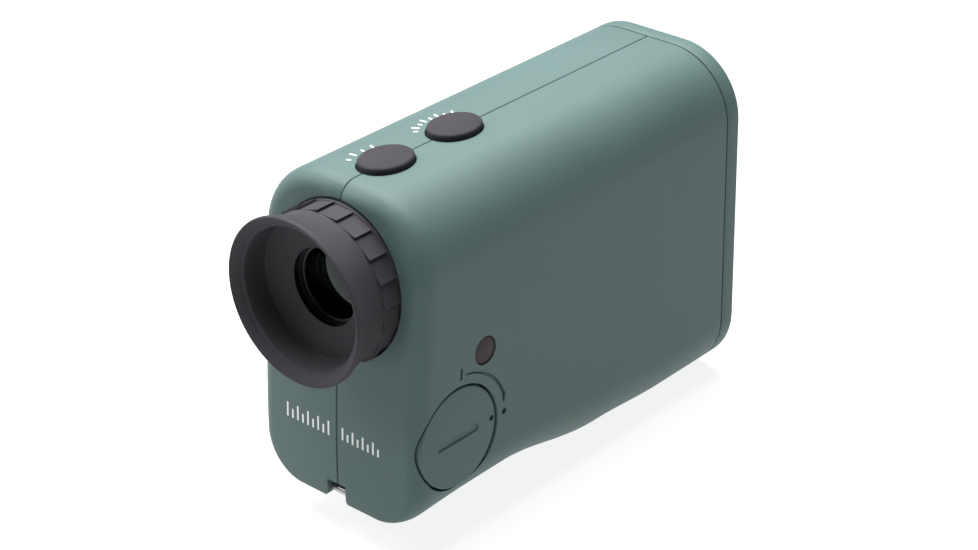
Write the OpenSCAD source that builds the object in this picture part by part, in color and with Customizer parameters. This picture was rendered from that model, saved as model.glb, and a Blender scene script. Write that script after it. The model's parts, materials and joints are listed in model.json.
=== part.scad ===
// Compact one-eyed laser rangefinder.
// Frame: X to the user's right, Y towards the target, Z up.
// Origin: middle of the bounding box in X and Y, on the lowest face of the body.

/* [Body] */
// Width across both half shells
body_w = 41.3; // [40:0.1:44]
// Height of the body without the keys
body_h = 72.4; // [72:0.1:76]
// Length of the shells from the top of the rear face to the bezel joint
body_len = 88.3; // [88:0.1:96]
// Depth of the front bezel beyond the joint
bezel_len = 4.2; // [4:0.1:5]
// How far the foot of the rear face stands out behind its top
rear_lean = 4.7; // [4:0.1:5]
// Radius of the upper corners
top_r = 14; // [13:0.1:14.5]
// Radius of the lower corners at the deep front end
front_low_r = 14; // [13:0.1:14.5]
// Radius of the lower corners under the battery
rear_low_r = 9.5; // [8:0.1:10]
// Radius of the rim round the rear face
rim_r = 3.5; // [3:0.1:4]
// Thickness of the shells
wall = 2; // [1.8:0.1:2.2]
// Gap between the two half shells
seam_gap = 0.1; // [0.06:0.02:0.2]

/* [Eyepiece] */
// Height of both the eyepiece and the objective axis
optic_z = 53.7; // [53.5:0.1:54]
// How far the eyecup stands behind the top of the rear face
eyecup_reach = 13.6; // [13:0.1:15]
// Outer radius of the eyecup's rim
eyecup_r = 16.6; // [16.4:0.1:17]
// Number of grip pads round the eyecup
grip_pads = 22; // [16:1:26]

/* [Front optics] */
// Height of the receiver axis
receiver_z = 23.4; // [23:0.1:23.5]
// Clear radius of the two front lenses
front_lens_r = 12.5; // [12:0.1:12.6]

/* [Battery] */
// Radius of the cell
cell_r = 7.8; // [7.7:0.05:7.8]
// Length of the cell with its terminal
cell_len = 27; // [26.5:0.1:27]
// Radius of the battery cap
cap_r = 10.25; // [10:0.05:10.3]
// Cap centre forward of the rear face's top
cap_fwd = 7.3; // [7:0.1:7.6]
// Height of the cap's centre
cap_z = 23.8; // [23.5:0.1:24]

/* [Keys] */
// Half width of each key
key_r = 4.74; // [4.5:0.02:4.8]
// Length of each key along the body
key_len = 11.86; // [11:0.02:12.2]
// Rise of the keys above the body
key_rise = 1.2; // [1:0.05:1.3]
// Travel of each key
key_travel = 0.8; // [0.5:0.05:0.85]

/* [Hidden] */
$fn = 96;
half_w = body_w / 2;
front_y = (eyecup_reach + body_len + bezel_len) / 2;
joint_y = front_y - bezel_len;
rear_y = joint_y - body_len;
cap_y = rear_y + cap_fwd;
slack = 0.1;             // clearance between pieces that don't move
run = 0.05;              // radial clearance of a running fit
cut = 1;                 // how far a cutter reaches past its face

// Colours
shell_green = [0.34, 0.42, 0.40];
rubber_grey = [0.25, 0.24, 0.26];
optic_black = [0.06, 0.06, 0.07];
lens_glass = [0.55, 0.62, 0.75, 0.5];
board_green = [0.10, 0.35, 0.20];
bright_metal = [0.80, 0.80, 0.82];
brass_gold = [0.80, 0.65, 0.35];

// ---------------------------------------------------------------- body form

// Bottom line of the body: heights at distances forward of the rear face's top
bottom_line = [[-rear_lean, 6.8], [14.5, 7.6], [22.5, 7.6], [52.5, 1], [72.5, 0], [body_len, 0]];
corner_start = 22.5;     // where the lower corners begin to open out
corner_end = 52.5;       // where they reach their full radius
lean_foot_z = 6;         // height at which the rear face stands furthest out
lean_fade = 20;          // the lean dies out this far forward
low_steps = 7;
side_steps = 3;
top_steps = 9;
rim_steps = 4;

function smooth(t) = let (c = min(max(t, 0), 1)) c * c * (3 - 2 * c);

function bottom_z(d, i = 0) =
    i == len(bottom_line) - 2 || d < bottom_line[i + 1][0]
    ? let (a = bottom_line[i], b = bottom_line[i + 1])
        a[1] + (b[1] - a[1]) * smooth((d - a[0]) / (b[0] - a[0]))
    : bottom_z(d, i + 1);

function low_r(d) =
    rear_low_r + (front_low_r - rear_low_r) * smooth((d - corner_start) / (corner_end - corner_start));

// Share of the lean at height z: straight for the upper part, then easing to its foot
lean_knee = 0.6;
lean_curve = 1 / (1 - lean_knee * lean_knee);
function lean_share(z) = let (t = min(max((body_h - z) / (body_h - lean_foot_z), 0), 1))
    t < lean_knee ? 2 * lean_curve * (1 - lean_knee) * t : 1 - lean_curve * (1 - t) * (1 - t);

function lean(d, z) = -rear_lean * lean_share(z) * (1 - smooth(d / lean_fade));

// Right half of the section at d, drawn in from the skin by inset, from bottom to top
function half_section(d, inset) =
    let (zb = bottom_z(d) + inset, zt = body_h - inset, w = half_w - inset,
         rb = low_r(d) - inset, rt = top_r - inset)
    concat(
        [for (k = [0 : low_steps]) let (a = 90 * k / low_steps - 90)
            [w - rb + rb * cos(a), zb + rb + rb * sin(a)]],
        [for (k = [1 : side_steps]) [w, zb + rb + (zt - rt - zb - rb) * k / (side_steps + 1)]],
        [for (k = [0 : top_steps]) let (a = 90 * k / top_steps)
            [w - rt + rt * cos(a), zt - rt + rt * sin(a)]]);

// Closed ring of points at a station: up the right side and down the left
function ring(station) = let (
    half = [for (p = half_section(station[0], station[1]))
        [p[0], rear_y + station[0] + lean(station[0], p[1]), p[1]]],
    q = len(half))
    concat(half, [for (j = [q - 1 : -1 : 0]) [-half[j][0], half[j][1], half[j][2]]]);

// Solid inside the skin; each station is [distance forward, inset]
module loft(stations) {
    n = len(stations);
    rings = [for (s = stations) ring(s)];
    m = len(rings[0]);
    skin = [for (i = [0 : n - 2], j = [0 : m - 1]) let (k = (j + 1) % m)
        [i * m + j, i * m + k, (i + 1) * m + k, (i + 1) * m + j]];
    rear = [for (j = [0 : m / 2 - 2]) [j, m - 1 - j, m - 2 - j, j + 1]];
    front = [[for (j = [0 : m - 1]) (n - 1) * m + j]];
    polyhedron([for (r = rings) each r], concat(skin, rear, front), convexity = 6);
}

outer_run = [8, 13, 18, 22.5, 26, 29, 32, 35, 38, 41, 44, 47, 50, 53, 58, 63, 68, 73, body_len];

module outside() {
    rim = [for (k = [0 : rim_steps]) let (a = 90 * k / rim_steps)
        [rim_r * (1 - cos(a)), rim_r * (1 - sin(a))]];
    loft(concat(rim, [for (d = outer_run) [d, 0]]));
}

// Everything to the right of the middle seam, or to the left of it
module half_space(side) translate([side > 0 ? seam_gap / 2 : -half_w - cut - seam_gap / 2, -body_len, -cut])
    cube([half_w + cut, 2 * body_len, body_h + 2 * cut]);

// Space inside the body: a shallow rear room, a deep front room and its mouth, behind the leaning rear wall
rear_room_z = bottom_line[1][1] + wall;
front_room_z = bottom_line[3][1] + wall;
front_room_d = 49.5;
mouth_d = bottom_line[4][0];
module room(d, low_z, low_corner, deep) translate([0, rear_y + d + deep, 0])
    rotate([90, 0, 0]) linear_extrude(deep) outline(wall, low_z, low_corner);

module inside() intersection() {
    union() {
        room(-rear_lean, rear_room_z, rear_low_r - wall, rear_lean + front_room_d + cut);
        room(front_room_d, front_room_z, front_low_r - wall, body_len - front_room_d + cut);
        room(mouth_d, wall, front_low_r - wall, body_len - mouth_d + cut);
    }
    translate([-half_w, 0, 0]) rotate([90, 0, 90]) linear_extrude(body_w) polygon(concat(
        [for (z = [body_h, 58, 44, 30, 22, lean_foot_z, 0]) [rear_y + wall + lean(0, z), z]],
        [[joint_y + 2 * cut, 0], [joint_y + 2 * cut, body_h]]));
}

// ---------------------------------------------------------------- helpers

// Round bar along +X, +Y or +Z from its start
module bar_x(x, y, z, r, len) translate([x, y, z]) rotate([0, 90, 0]) cylinder(r = r, h = len);
module bar_y(x, y, z, r, len) translate([x, y, z]) rotate([-90, 0, 0]) cylinder(r = r, h = len);
module bar_z(x, y, z, r, len) translate([x, y, z]) cylinder(r = r, h = len);

module tube_y(y, z, r_out, r_in, len) difference() {
    bar_y(0, y, z, r_out, len);
    bar_y(0, y - cut, z, r_in, len + 2 * cut);
}

// Turns a profile of [radius, distance] pairs about the optical axis, distance running towards +Y
module turned_y(y, z) translate([0, y, z]) rotate([-90, 0, 0]) rotate_extrude() children();

// Lens between y and y + thick, whose edge is set in by rear_sag and nose_sag
lens_steps = 6;
module lens_y(y, z, r, thick, rear_sag, nose_sag) turned_y(y, z) polygon(concat(
    [for (k = [0 : lens_steps]) let (t = k / lens_steps) [r * t, rear_sag * t * t]],
    [for (k = [lens_steps : -1 : 0]) let (t = k / lens_steps) [r * t, thick - nose_sag * t * t]]));

// Shallow dome on a short round foot, standing on z = 0
dome_steps = 5;
module dome(r, foot, rise) rotate_extrude() polygon(concat([[0, 0], [r, 0]],
    [for (k = [dome_steps : -1 : 0]) let (t = k / dome_steps) [r * t, foot + rise * (1 - t * t)]]));

// Upright outline of the body drawn in by inset, down to low_z with corners of radius rb
module outline(inset, low_z, rb) {
    w = half_w - inset;
    rt = top_r - inset;
    zt = body_h - inset;
    translate([-w, low_z + rb]) square([2 * w, zt - rt - low_z - rb]);
    translate([-w + rt, zt - 2 * rt]) square([2 * (w - rt), 2 * rt]);
    translate([-w + rb, low_z]) square([2 * (w - rb), 2 * rb]);
    for (side = [-1, 1]) {
        translate([side * (w - rt), zt - rt]) circle(r = rt);
        translate([side * (w - rb), low_z + rb]) circle(r = rb);
    }
}

module front_outline(inset) outline(inset, inset, front_low_r - inset);

// Slab of the front outline from y, deep towards +Y
module front_slab(y, deep, inset)
    translate([0, y + deep, 0]) rotate([90, 0, 0]) linear_extrude(deep) front_outline(inset);

// Rounded oval with its long way along Y
module oval(r, long) {
    reach = long / 2 - r;
    for (side = [-1, 1]) translate([0, side * reach]) circle(r = r);
    translate([-r, -reach]) square([2 * r, 2 * reach]);
}

// ---------------------------------------------------------------- shells

eye_recess_r = 15.9;               // round recess that the eyecup's foot turns in
eye_recess_d = 0;                // its floor, forward of the rear face's top
eye_boss_r = 17.6;
eye_boss_d = 2.2;
tube_r = 11;                     // eyepiece tube through the shells
cap_gap = 0.45;
cap_recess_x = 17.9;             // floor of the cap's recess
cap_boss_r = 12.4;
cap_boss_x = 14.6;
cap_throat_r = 9.2;
plug_fwd = 15;                   // side plug, over the shell screw
plug_z = 39.1;
plug_r = 2.9;
plug_depth = 1.7;
plug_boss_r = 4;
screw_seat_x = 16.2;
screw_boss_r = 3;
screw_r = 1;
screw_head_r = 2;
screw_head = 1.4;
notch_left = -2.8;               // lanyard notch, cut up from the bottom of the rear face
notch_w = 4.8;
notch_top = 10.4;
notch_deep = 3.6;
notch_wall = 1.6;
lanyard_r = 0.75;
lanyard_z = 8.6;
lanyard_in = 1.7;                // pin axis, in from the rear face
foot_y = rear_y - rear_lean;
mode_y = rear_y + 11.8;
power_y = rear_y + 30.3;
key_gap = 0.2;
front_screws = [[14, body_h - 6.5], [14, 6.5]];
front_boss_r = 2.4;
front_boss_len = 9;
board_posts = [[26, 16], [26, 33], [44, 16], [44, 33]];   // [distance forward, height] on the main board
post_r = 2;
post_x = 17.3;
pilot_r = 0.7;

module shell_space() difference() {
    inside();
    bar_y(0, rear_y - rear_lean - cut, optic_z, eye_boss_r, rear_lean + cut + eye_boss_d);
    translate([notch_left - notch_wall, foot_y - cut, 0])
        cube([notch_w + 2 * notch_wall, notch_deep + notch_wall + cut, notch_top + notch_wall]);
    for (s = front_screws, side = [-1, 1])
        bar_y(side * s[0], joint_y - front_boss_len, s[1], front_boss_r, front_boss_len + 2 * cut);
}

module shell_holes() {
    for (y = [mode_y, power_y]) translate([0, y, body_h - wall - cut])
        linear_extrude(wall + 2 * cut) oval(key_r + key_gap, key_len + 2 * key_gap);
    bar_y(0, foot_y - cut, optic_z, eye_recess_r, rear_lean + cut + eye_recess_d);
    bar_y(0, foot_y - cut, optic_z, tube_r + slack, rear_lean + 4 * cut + eye_boss_d);
    translate([notch_left, foot_y - cut, 0]) cube([notch_w, notch_deep + cut, notch_top]);
    bar_x(notch_left - notch_wall, foot_y + lanyard_in, lanyard_z, lanyard_r, notch_w + 2 * notch_wall);
    for (s = front_screws, side = [-1, 1])
        bar_y(side * s[0], joint_y - front_boss_len + cut, s[1], pilot_r, front_boss_len + cut);
}

module left_shell() color(shell_green) {
    difference() {
        intersection() {
            outside();
            half_space(-1);
        }
        difference() {
            shell_space();
            bar_x(-half_w, rear_y + plug_fwd, plug_z, screw_boss_r, half_w + cut);
            for (p = board_posts) bar_x(-half_w, rear_y + p[0], p[1], post_r, half_w - post_x);
        }
        shell_holes();
        bar_x(-half_w + wall, rear_y + plug_fwd, plug_z, pilot_r, half_w);
        for (p = board_posts) bar_x(-half_w + cut, rear_y + p[0], p[1], pilot_r, half_w - post_x);
    }
}

module right_shell() color(shell_green) {
    difference() {
        intersection() {
            outside();
            half_space(1);
        }
        difference() {
            shell_space();
            bar_x(cap_boss_x, cap_y, cap_z, cap_boss_r, half_w - cap_boss_x);
            bar_x(-cut, rear_y + plug_fwd, plug_z, screw_boss_r, half_w + cut);
            bar_x(screw_seat_x - cut, rear_y + plug_fwd, plug_z, plug_boss_r, half_w);
        }
        shell_holes();
        bar_x(cap_recess_x, cap_y, cap_z, cap_r + cap_gap, half_w);
        bar_x(cap_boss_x - cut, cap_y, cap_z, cap_throat_r, half_w);
        bar_x(half_w - plug_depth, rear_y + plug_fwd, plug_z, plug_r + run, half_w);
        bar_x(screw_seat_x, rear_y + plug_fwd, plug_z, screw_head_r + slack, half_w);
        bar_x(-cut, rear_y + plug_fwd, plug_z, screw_r + slack, half_w);
    }
}

// ---------------------------------------------------------------- front end

joint_gap = 0.2;
bezel_lip = 2.4;                 // width of the frame seen from the front
plate_set = 1.2;                 // lens plate behind the bezel's front face
plate_t = 1.6;
spigot_out = 2.3;                // spigot, drawn in from the skin
spigot_in = 4;
spigot_len = 4;
seal_w = 1.4;
seal_deep = 0.9;
barrel_r = 14.6;
barrel_wall = 1.2;
ring_len = 1.4;
lens_seat_y = front_y - plate_set - plate_t;

pad_r_front = 2.8;               // round pads that the bezel's screws clamp
head_r = 1.5;
head_t = 0.6;
module front_bezel() color(shell_green) difference() {
    union() {
        difference() {
            union() {
                front_slab(joint_y + joint_gap, bezel_len - joint_gap, 0);
                front_slab(joint_y - spigot_len, spigot_len + cut, spigot_out);
            }
            front_slab(joint_y - spigot_len - cut, body_len, spigot_in);
        }
        for (s = front_screws, side = [-1, 1])
            bar_y(side * s[0], joint_y + joint_gap, s[1], pad_r_front, lens_seat_y - joint_y - joint_gap);
    }
    front_slab(lens_seat_y, plate_set + plate_t + cut, bezel_lip);
    difference() {
        front_slab(joint_y - 2 * seal_w, seal_w, 0);
        front_slab(joint_y - 2 * seal_w - cut, seal_w + 2 * cut, spigot_out + seal_deep);
    }
    for (s = front_screws, side = [-1, 1]) {
        bar_y(side * s[0], joint_y - spigot_len - cut, s[1], front_boss_r + slack,
            spigot_len + cut + joint_gap);
        bar_y(side * s[0], joint_y - cut, s[1], screw_r + slack, bezel_len);
        bar_y(side * s[0], lens_seat_y - head_t - slack, s[1], head_r + slack, bezel_len);
    }
}

module front_gasket() color(rubber_grey) difference() {
    front_slab(joint_y - 2 * seal_w + slack, seal_w - 2 * slack, spigot_out - slack);
    front_slab(joint_y - 2 * seal_w - cut, seal_w + 2 * cut, spigot_out + seal_deep);
    for (s = front_screws, side = [-1, 1])
        bar_y(side * s[0], joint_y - spigot_len, s[1], front_boss_r + slack, spigot_len);
}

module lens_plate() color(optic_black) difference() {
    front_slab(lens_seat_y, plate_t, bezel_lip + slack);
    for (z = [optic_z, receiver_z]) bar_y(0, lens_seat_y - cut, z, front_lens_r, plate_t + 2 * cut);
}

// Pan-head screws that hold the bezel to both shells, under the lens plate
module bezel_screws() color(bright_metal) for (s = front_screws, side = [-1, 1]) {
    tip_y = joint_y - front_boss_len + 2 * cut;
    head_y = lens_seat_y - head_t - slack / 2;
    bar_y(side * s[0], tip_y, s[1], pilot_r, head_y - tip_y);
    bar_y(side * s[0], head_y, s[1], head_r, head_t);
}

module shell_screw() color(bright_metal) difference() {
    union() {
        bar_x(screw_seat_x, rear_y + plug_fwd, plug_z, screw_head_r, screw_head);
        bar_x(-half_w / 2, rear_y + plug_fwd, plug_z, pilot_r, half_w / 2 + screw_seat_x);
    }
    for (turn = [0, 90]) translate([screw_seat_x + screw_head, rear_y + plug_fwd, plug_z])
        rotate([turn, 0, 0]) cube([1.2, 0.5, 2.4], center = true);
}

plug_rise = 0.25;
module side_plug() color(rubber_grey)
    translate([half_w - plug_depth + slack, rear_y + plug_fwd, plug_z]) rotate([0, 90, 0])
        dome(plug_r, plug_depth - slack - plug_rise, plug_rise);

module lanyard_pin() color(bright_metal)
    bar_x(notch_left - notch_wall + slack, foot_y + lanyard_in, lanyard_z, lanyard_r - run / 5,
        notch_w + 2 * (notch_wall - slack));

// ---------------------------------------------------------------- front lenses

barrel_back = 50;                // rear end of both barrels, forward of the rear face's top
barrel_front_y = lens_seat_y - slack;
front_lens_t = 4.4;
lens_back_y = barrel_front_y - ring_len - front_lens_t;
front_sag = 1.8;
back_sag = 1.2;

// Straight barrel with a ledge behind the lens and a smaller rear opening
module barrel(z, back_r) color(optic_black) {
    back_y = rear_y + barrel_back;
    difference() {
        bar_y(0, back_y, z, barrel_r, barrel_front_y - back_y);
        bar_y(0, lens_back_y, z, barrel_r - barrel_wall, barrel_front_y);
        bar_y(0, back_y + barrel_wall, z, front_lens_r - barrel_wall, barrel_front_y);
        bar_y(0, back_y - cut, z, back_r, barrel_front_y);
    }
}

module front_lens(z) color(lens_glass)
    lens_y(lens_back_y, z, front_lens_r + 0.8, front_lens_t, back_sag, front_sag);

module front_ring(z) color(optic_black) {
    ring_out = barrel_r - barrel_wall - run;
    turned_y(barrel_front_y - ring_len, z)
        polygon([[front_lens_r - 0.4, 0], [ring_out, 0], [ring_out, ring_len], [front_lens_r, ring_len]]);
}

module objective_lens() front_lens(optic_z);
module objective_retaining_ring() front_ring(optic_z);
module objective_barrel() barrel(optic_z, 9);
module receiver_lens() front_lens(receiver_z);
module receiver_retaining_ring() front_ring(receiver_z);
module receiver_barrel() barrel(receiver_z, 4);

// ---------------------------------------------------------------- receiver and laser

board_t = 1.2;
can_r = 2.7;
can_len = 3.6;
pin_r = 0.25;

module can_y(y, z) bar_y(0, y, z, can_r, can_len);

module receiver_board() color(board_green) {
    y = rear_y + barrel_back - 2 * board_t;
    translate([-10, y, receiver_z - 11]) cube([20, board_t, 22]);
}

module receiver_sensor() color(bright_metal) {
    can_y(rear_y + barrel_back - board_t, receiver_z);
    for (side = [-1, 1]) bar_y(side * 1.3, rear_y + barrel_back - 2 * board_t - cut, receiver_z, pin_r,
        cut);
}

cradle_back = 27.5;
cradle_len = 20;
cradle_half = 13;
cradle_low = 42.6;
cradle_high = 64.6;
cradle_wall = 1.8;
laser_z = 38;

module prism_cradle() color(optic_black) difference() {
    translate([-cradle_half, rear_y + cradle_back, cradle_low])
        cube([2 * cradle_half, cradle_len, cradle_high - cradle_low]);
    translate([-cradle_half + cradle_wall, rear_y + cradle_back + cradle_wall, cradle_low + cradle_wall])
        cube([2 * (cradle_half - cradle_wall), cradle_len - 2 * cradle_wall, cradle_high]);
    bar_y(0, rear_y + cradle_back - cut, optic_z, 7.5, cradle_len + 2 * cut);
    bar_z(0, rear_y + cradle_back + cradle_len / 2, cradle_low - cut, can_r + slack, 3 * cut + cradle_wall);
}

// Prisms stand in the cradle; each is an outline in Y and Z pushed across X
prism_half = 9;
prism_low = 44.6;
prism_high = 63;
module prism(points) translate([prism_half, rear_y + cradle_back, 0]) rotate([90, 0, -90])
    mirror([1, 0, 0]) linear_extrude(2 * prism_half) polygon(points);

module roof_prism() color(lens_glass)
    prism([[2.2, prism_low], [9.2, prism_low], [9.2, prism_high - 2], [7.2, prism_high], [2.2, 52]]);

module half_penta_prism() color(lens_glass)
    prism([[9.6, prism_low], [17.6, 50], [17.6, prism_high - 4], [13.6, prism_high], [9.6, prism_high]]);

module laser_diode() color(brass_gold) {
    y = rear_y + cradle_back + cradle_len / 2;
    bar_z(0, y, laser_z, can_r, cradle_low + cradle_wall - laser_z);
    bar_z(0, y, laser_z - 1, can_r + 0.9, 1);
}

module laser_board() color(board_green)
    translate([-7, rear_y + cradle_back + 2, laser_z - 1 - board_t]) cube([14, 14, board_t]);

chassis_x = 15.2;
chassis_t = 1.2;
lug_y = rear_y + 60;
module chassis_plate() color(bright_metal) {
    difference() {
        translate([chassis_x, rear_y + 24, 30]) cube([chassis_t, 56, 33]);
        bar_x(chassis_x - cut, lug_y, optic_z - 14, 5, 3 * cut);
    }
    for (d = [31, 43], z = [46, 60]) bar_x(cradle_half, rear_y + d, z, 1.5, chassis_x - cradle_half);
}

// ---------------------------------------------------------------- boards

main_x = -post_x;
main_low = 13.4;
main_high = 37;
module main_board() color(board_green) difference() {
    translate([main_x, rear_y + 20, main_low]) cube([board_t, 64, main_high - main_low]);
    for (p = board_posts) bar_x(main_x - cut, rear_y + p[0], p[1], screw_r, board_t + 2 * cut);
}

// Each chip is [distance forward, height, length, height of package]
chips = [[29, 16, 10, 10], [30, 29, 6, 5], [38, 28, 4, 4], [21, 18, 3, 8], [42, 19, 3, 5]];
module board_chips() color(optic_black) for (c = chips)
    translate([main_x + board_t, rear_y + c[0], c[1]]) cube([1, c[2], c[3]]);

module board_screws() color(bright_metal) for (p = board_posts) {
    bar_x(main_x + board_t, rear_y + p[0], p[1], 1.6, 1);
    bar_x(main_x - 0.9, rear_y + p[0], p[1], pilot_r, 0.9 + board_t);
}

key_board_z = 65.6;
key_board_half = 8;
flex_t = 0.3;
flex_w = 7;
flex_low = 35.2;
module flex_cable() color(brass_gold) translate([0, rear_y + 22 + flex_w, 0]) rotate([90, 0, 0])
    linear_extrude(flex_w) polygon([[main_x + board_t, flex_low], [main_x + board_t + flex_t, flex_low],
        [main_x + board_t + flex_t, 62.8], [-13.6, 64.9], [-key_board_half + 2, 64.9],
        [-key_board_half + 2, key_board_z - slack], [-key_board_half, key_board_z - slack],
        [-key_board_half, 65.2], [-13.8, 65.2], [main_x + board_t, 63]]);

module display_glass() color(lens_glass)
    translate([-6, rear_y + 24.6, optic_z - 5]) cube([12, 1.1, 10]);

// ---------------------------------------------------------------- eyepiece

tube_bore = 9.55;
tube_back = -4.6;                // rear end of the fixed tube, in the same measure as the others
tube_front = 22;
flange_r = 13;
flange_t = 1.4;
sleeve_r = tube_bore - run;
sleeve_back = -4.2;
sleeve_len = 18;
eye_bore = 8.5;
eye_clear = 7.1;

module eyepiece_tube() color(optic_black) {
    difference() {
        union() {
            bar_y(0, rear_y + tube_back, optic_z, tube_r, tube_front - tube_back);
            bar_y(0, rear_y + eye_boss_d + slack, optic_z, flange_r, flange_t);
        }
        bar_y(0, rear_y + tube_back - cut, optic_z, tube_bore, tube_front);
        bar_y(0, rear_y + tube_back - cut, optic_z, eye_clear, tube_front - tube_back + 2 * cut);
        turned_y(rear_y - 2.4, optic_z) polygon([[tube_r - 0.5, 0], [tube_r + cut, 0],
            [tube_r + cut, 1.2], [tube_r - 0.5, 1.2]]);
    }
}

module eyepiece_o_ring() color(rubber_grey) turned_y(rear_y - 1.8, optic_z)
    translate([tube_r - 0.02, 0]) circle(r = 0.46, $fn = 32);

ring_r = 13;
ring_back = -5.2;
ring_front = -0.3;
ring_bore = tube_r + run + 0.45;
module diopter_ring() color(optic_black)
    tube_y(rear_y + ring_back, optic_z, ring_r, ring_bore, ring_front - ring_back);

// Rubber eyecup: grip band, flared wall, stepped bowl and a floor with the eye opening
cone_front = -5.6;               // where the flared wall meets the grip band
pad_back = -5.5;                 // rear ends of the grip pads
pad_front = -1.2;
band_r = 15;
pad_r = 15.45;
pad_w = 2.3;
bowl_r = 13.9;
bowl_floor = -6.6;
floor_front = -5.35;
eye_open = 7.7;
module eyecup_profile() polygon([
    [eye_open, -5.5], [bowl_r - 0.5, bowl_floor], [bowl_r, bowl_floor - 0.3], [bowl_r + 0.2, -11.4],
    [bowl_r + 0.9, -12.3], [15.3, -13.1], [15.8, -eyecup_reach], [16.3, -13.5],
    [eyecup_r, -13], [16.5, -12.4], [15.9, -11], [15.3, -8.5], [band_r, cone_front], [band_r, -1.4],
    [14.6, ring_front], [ring_r, ring_front], [ring_r, floor_front], [eye_open, floor_front]]);

module grip_pad(turn) translate([0, rear_y, optic_z]) rotate([0, turn, 0])
    translate([-pad_w / 2, pad_back, band_r - 0.6]) cube([pad_w, pad_front - pad_back, pad_r - band_r + 0.6]);

module eyecup() color(rubber_grey) union() {
    turned_y(rear_y, optic_z) eyecup_profile();
    for (k = [0 : grip_pads - 1]) grip_pad(k * 360 / grip_pads);
}

module focus_sleeve() color(optic_black) difference() {
    bar_y(0, rear_y + sleeve_back, optic_z, sleeve_r, sleeve_len);
    bar_y(0, rear_y + sleeve_back - cut, optic_z, eye_bore, 6 + cut);
    bar_y(0, rear_y + sleeve_back + 8, optic_z, eye_bore, sleeve_len);
    bar_y(0, rear_y + sleeve_back - cut, optic_z, eye_clear, sleeve_len + 2 * cut);
}

module eyepiece_retaining_ring() color(optic_black) turned_y(rear_y + sleeve_back, optic_z)
    polygon([[eye_clear, 1.2], [eye_clear + 0.5, 0], [eye_bore - run, 0], [eye_bore - run, 1.2]]);

module eye_lens() color(lens_glass)
    lens_y(rear_y + sleeve_back + 1.3, optic_z, eye_bore - slack, 4.6, 1.5, 1.2);

module field_lens() color(lens_glass)
    lens_y(rear_y + sleeve_back + 8.1, optic_z, eye_bore - slack, 4, 1.2, 0.9);

// ---------------------------------------------------------------- keys

dome_foot = 0.1;
dome_rise = 0.5;
key_dome_r = 30;
flange_top_z = body_h - wall - slack;
key_flange = 0.8;
key_foot_z = key_board_z + board_t + dome_foot + dome_rise + key_travel + slack;
module key(y) color(rubber_grey) {
    intersection() {
        translate([0, y, flange_top_z - key_flange])
            linear_extrude(body_h + key_rise - flange_top_z + key_flange) oval(key_r, key_len);
        translate([0, y, body_h + key_rise - key_dome_r]) sphere(r = key_dome_r);
    }
    translate([0, y, flange_top_z - key_flange]) linear_extrude(key_flange) oval(key_r + 1, key_len + 2);
    bar_z(0, y, key_foot_z, 1.6, flange_top_z - key_foot_z);
}

module mode_button() key(mode_y);
module power_button() key(power_y);

module button_board() color(board_green)
    translate([-key_board_half, rear_y + 4.5, key_board_z]) cube([2 * key_board_half, 33.5, board_t]);

module dome_switches() color(bright_metal) for (y = [mode_y, power_y])
    translate([0, y, key_board_z + board_t]) dome(3, dome_foot, dome_rise);

// ---------------------------------------------------------------- battery

sleeve_gap = 0.3;
tube_left = -17.2;
module battery_tube() color(optic_black) difference() {
    bar_x(tube_left, cap_y, cap_z, cell_r + sleeve_gap + 1.2, cap_boss_x - slack - tube_left);
    bar_x(tube_left + 1.2, cap_y, cap_z, cell_r + sleeve_gap, 2 * half_w);
}

cell_nub = 1.1;
module battery() color([0.55, 0.56, 0.60]) {
    bar_x(-cell_len / 2, cap_y, cap_z, cell_r, cell_len - cell_nub);
    bar_x(-cell_len / 2, cap_y, cap_z, 3, cell_len);
}

// Flat coil rings that press on the cell's rear end
module battery_spring() color(bright_metal) for (k = [0 : 2])
    translate([tube_left + 1.2 + 0.35 + k * 0.75, cap_y, cap_z]) rotate([0, 90, 0])
        rotate_extrude() translate([6 - k * 1.2, 0]) circle(r = 0.35, $fn = 24);

cap_face_x = half_w - 0.2;
cap_under_x = cap_recess_x + 0.15;
post_end_x = 18.9;
slot_len = 11;
slot_w = 1.8;
slot_deep = 1;
dot_r = 0.5;
dot_deep = 0.4;
module cap_contact() color(brass_gold) {
    bar_x(cell_len / 2 + slack, cap_y, cap_z, 7.2, 0.8);
    bar_x(cell_len / 2 + slack, cap_y, cap_z, 2.5, post_end_x - cell_len / 2 - slack);
}

module battery_cap() color(shell_green) difference() {
    union() {
        bar_x(cap_under_x, cap_y, cap_z, cap_r, cap_face_x - cap_under_x);
        bar_x(15.2, cap_y, cap_z, cap_throat_r - 0.15, cap_under_x - 15.2);
    }
    bar_x(14, cap_y, cap_z, 7.9, cap_under_x - 14);
    bar_x(14, cap_y, cap_z, 2.5 + run, post_end_x + run - 14);
    translate([16.2, cap_y, cap_z]) rotate([0, 90, 0]) rotate_extrude() translate([8.3, 0]) square([2, 1]);
    intersection() {
        translate([cap_face_x - slot_deep, cap_y - slot_len / 2, cap_z - slot_w / 2])
            cube([slot_deep + cut, slot_len, slot_w]);
        translate([cap_face_x + 13.7, cap_y, cap_z - slot_w]) cylinder(r = 14.7, h = 2 * slot_w);
    }
    bar_x(cap_face_x - dot_deep, cap_y + 9.2, cap_z, dot_r, cut);
}

module cap_o_ring() color(rubber_grey) translate([16.7, cap_y, cap_z]) rotate([0, 90, 0])
    rotate_extrude() translate([8.72, 0]) circle(r = 0.4, $fn = 32);

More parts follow.
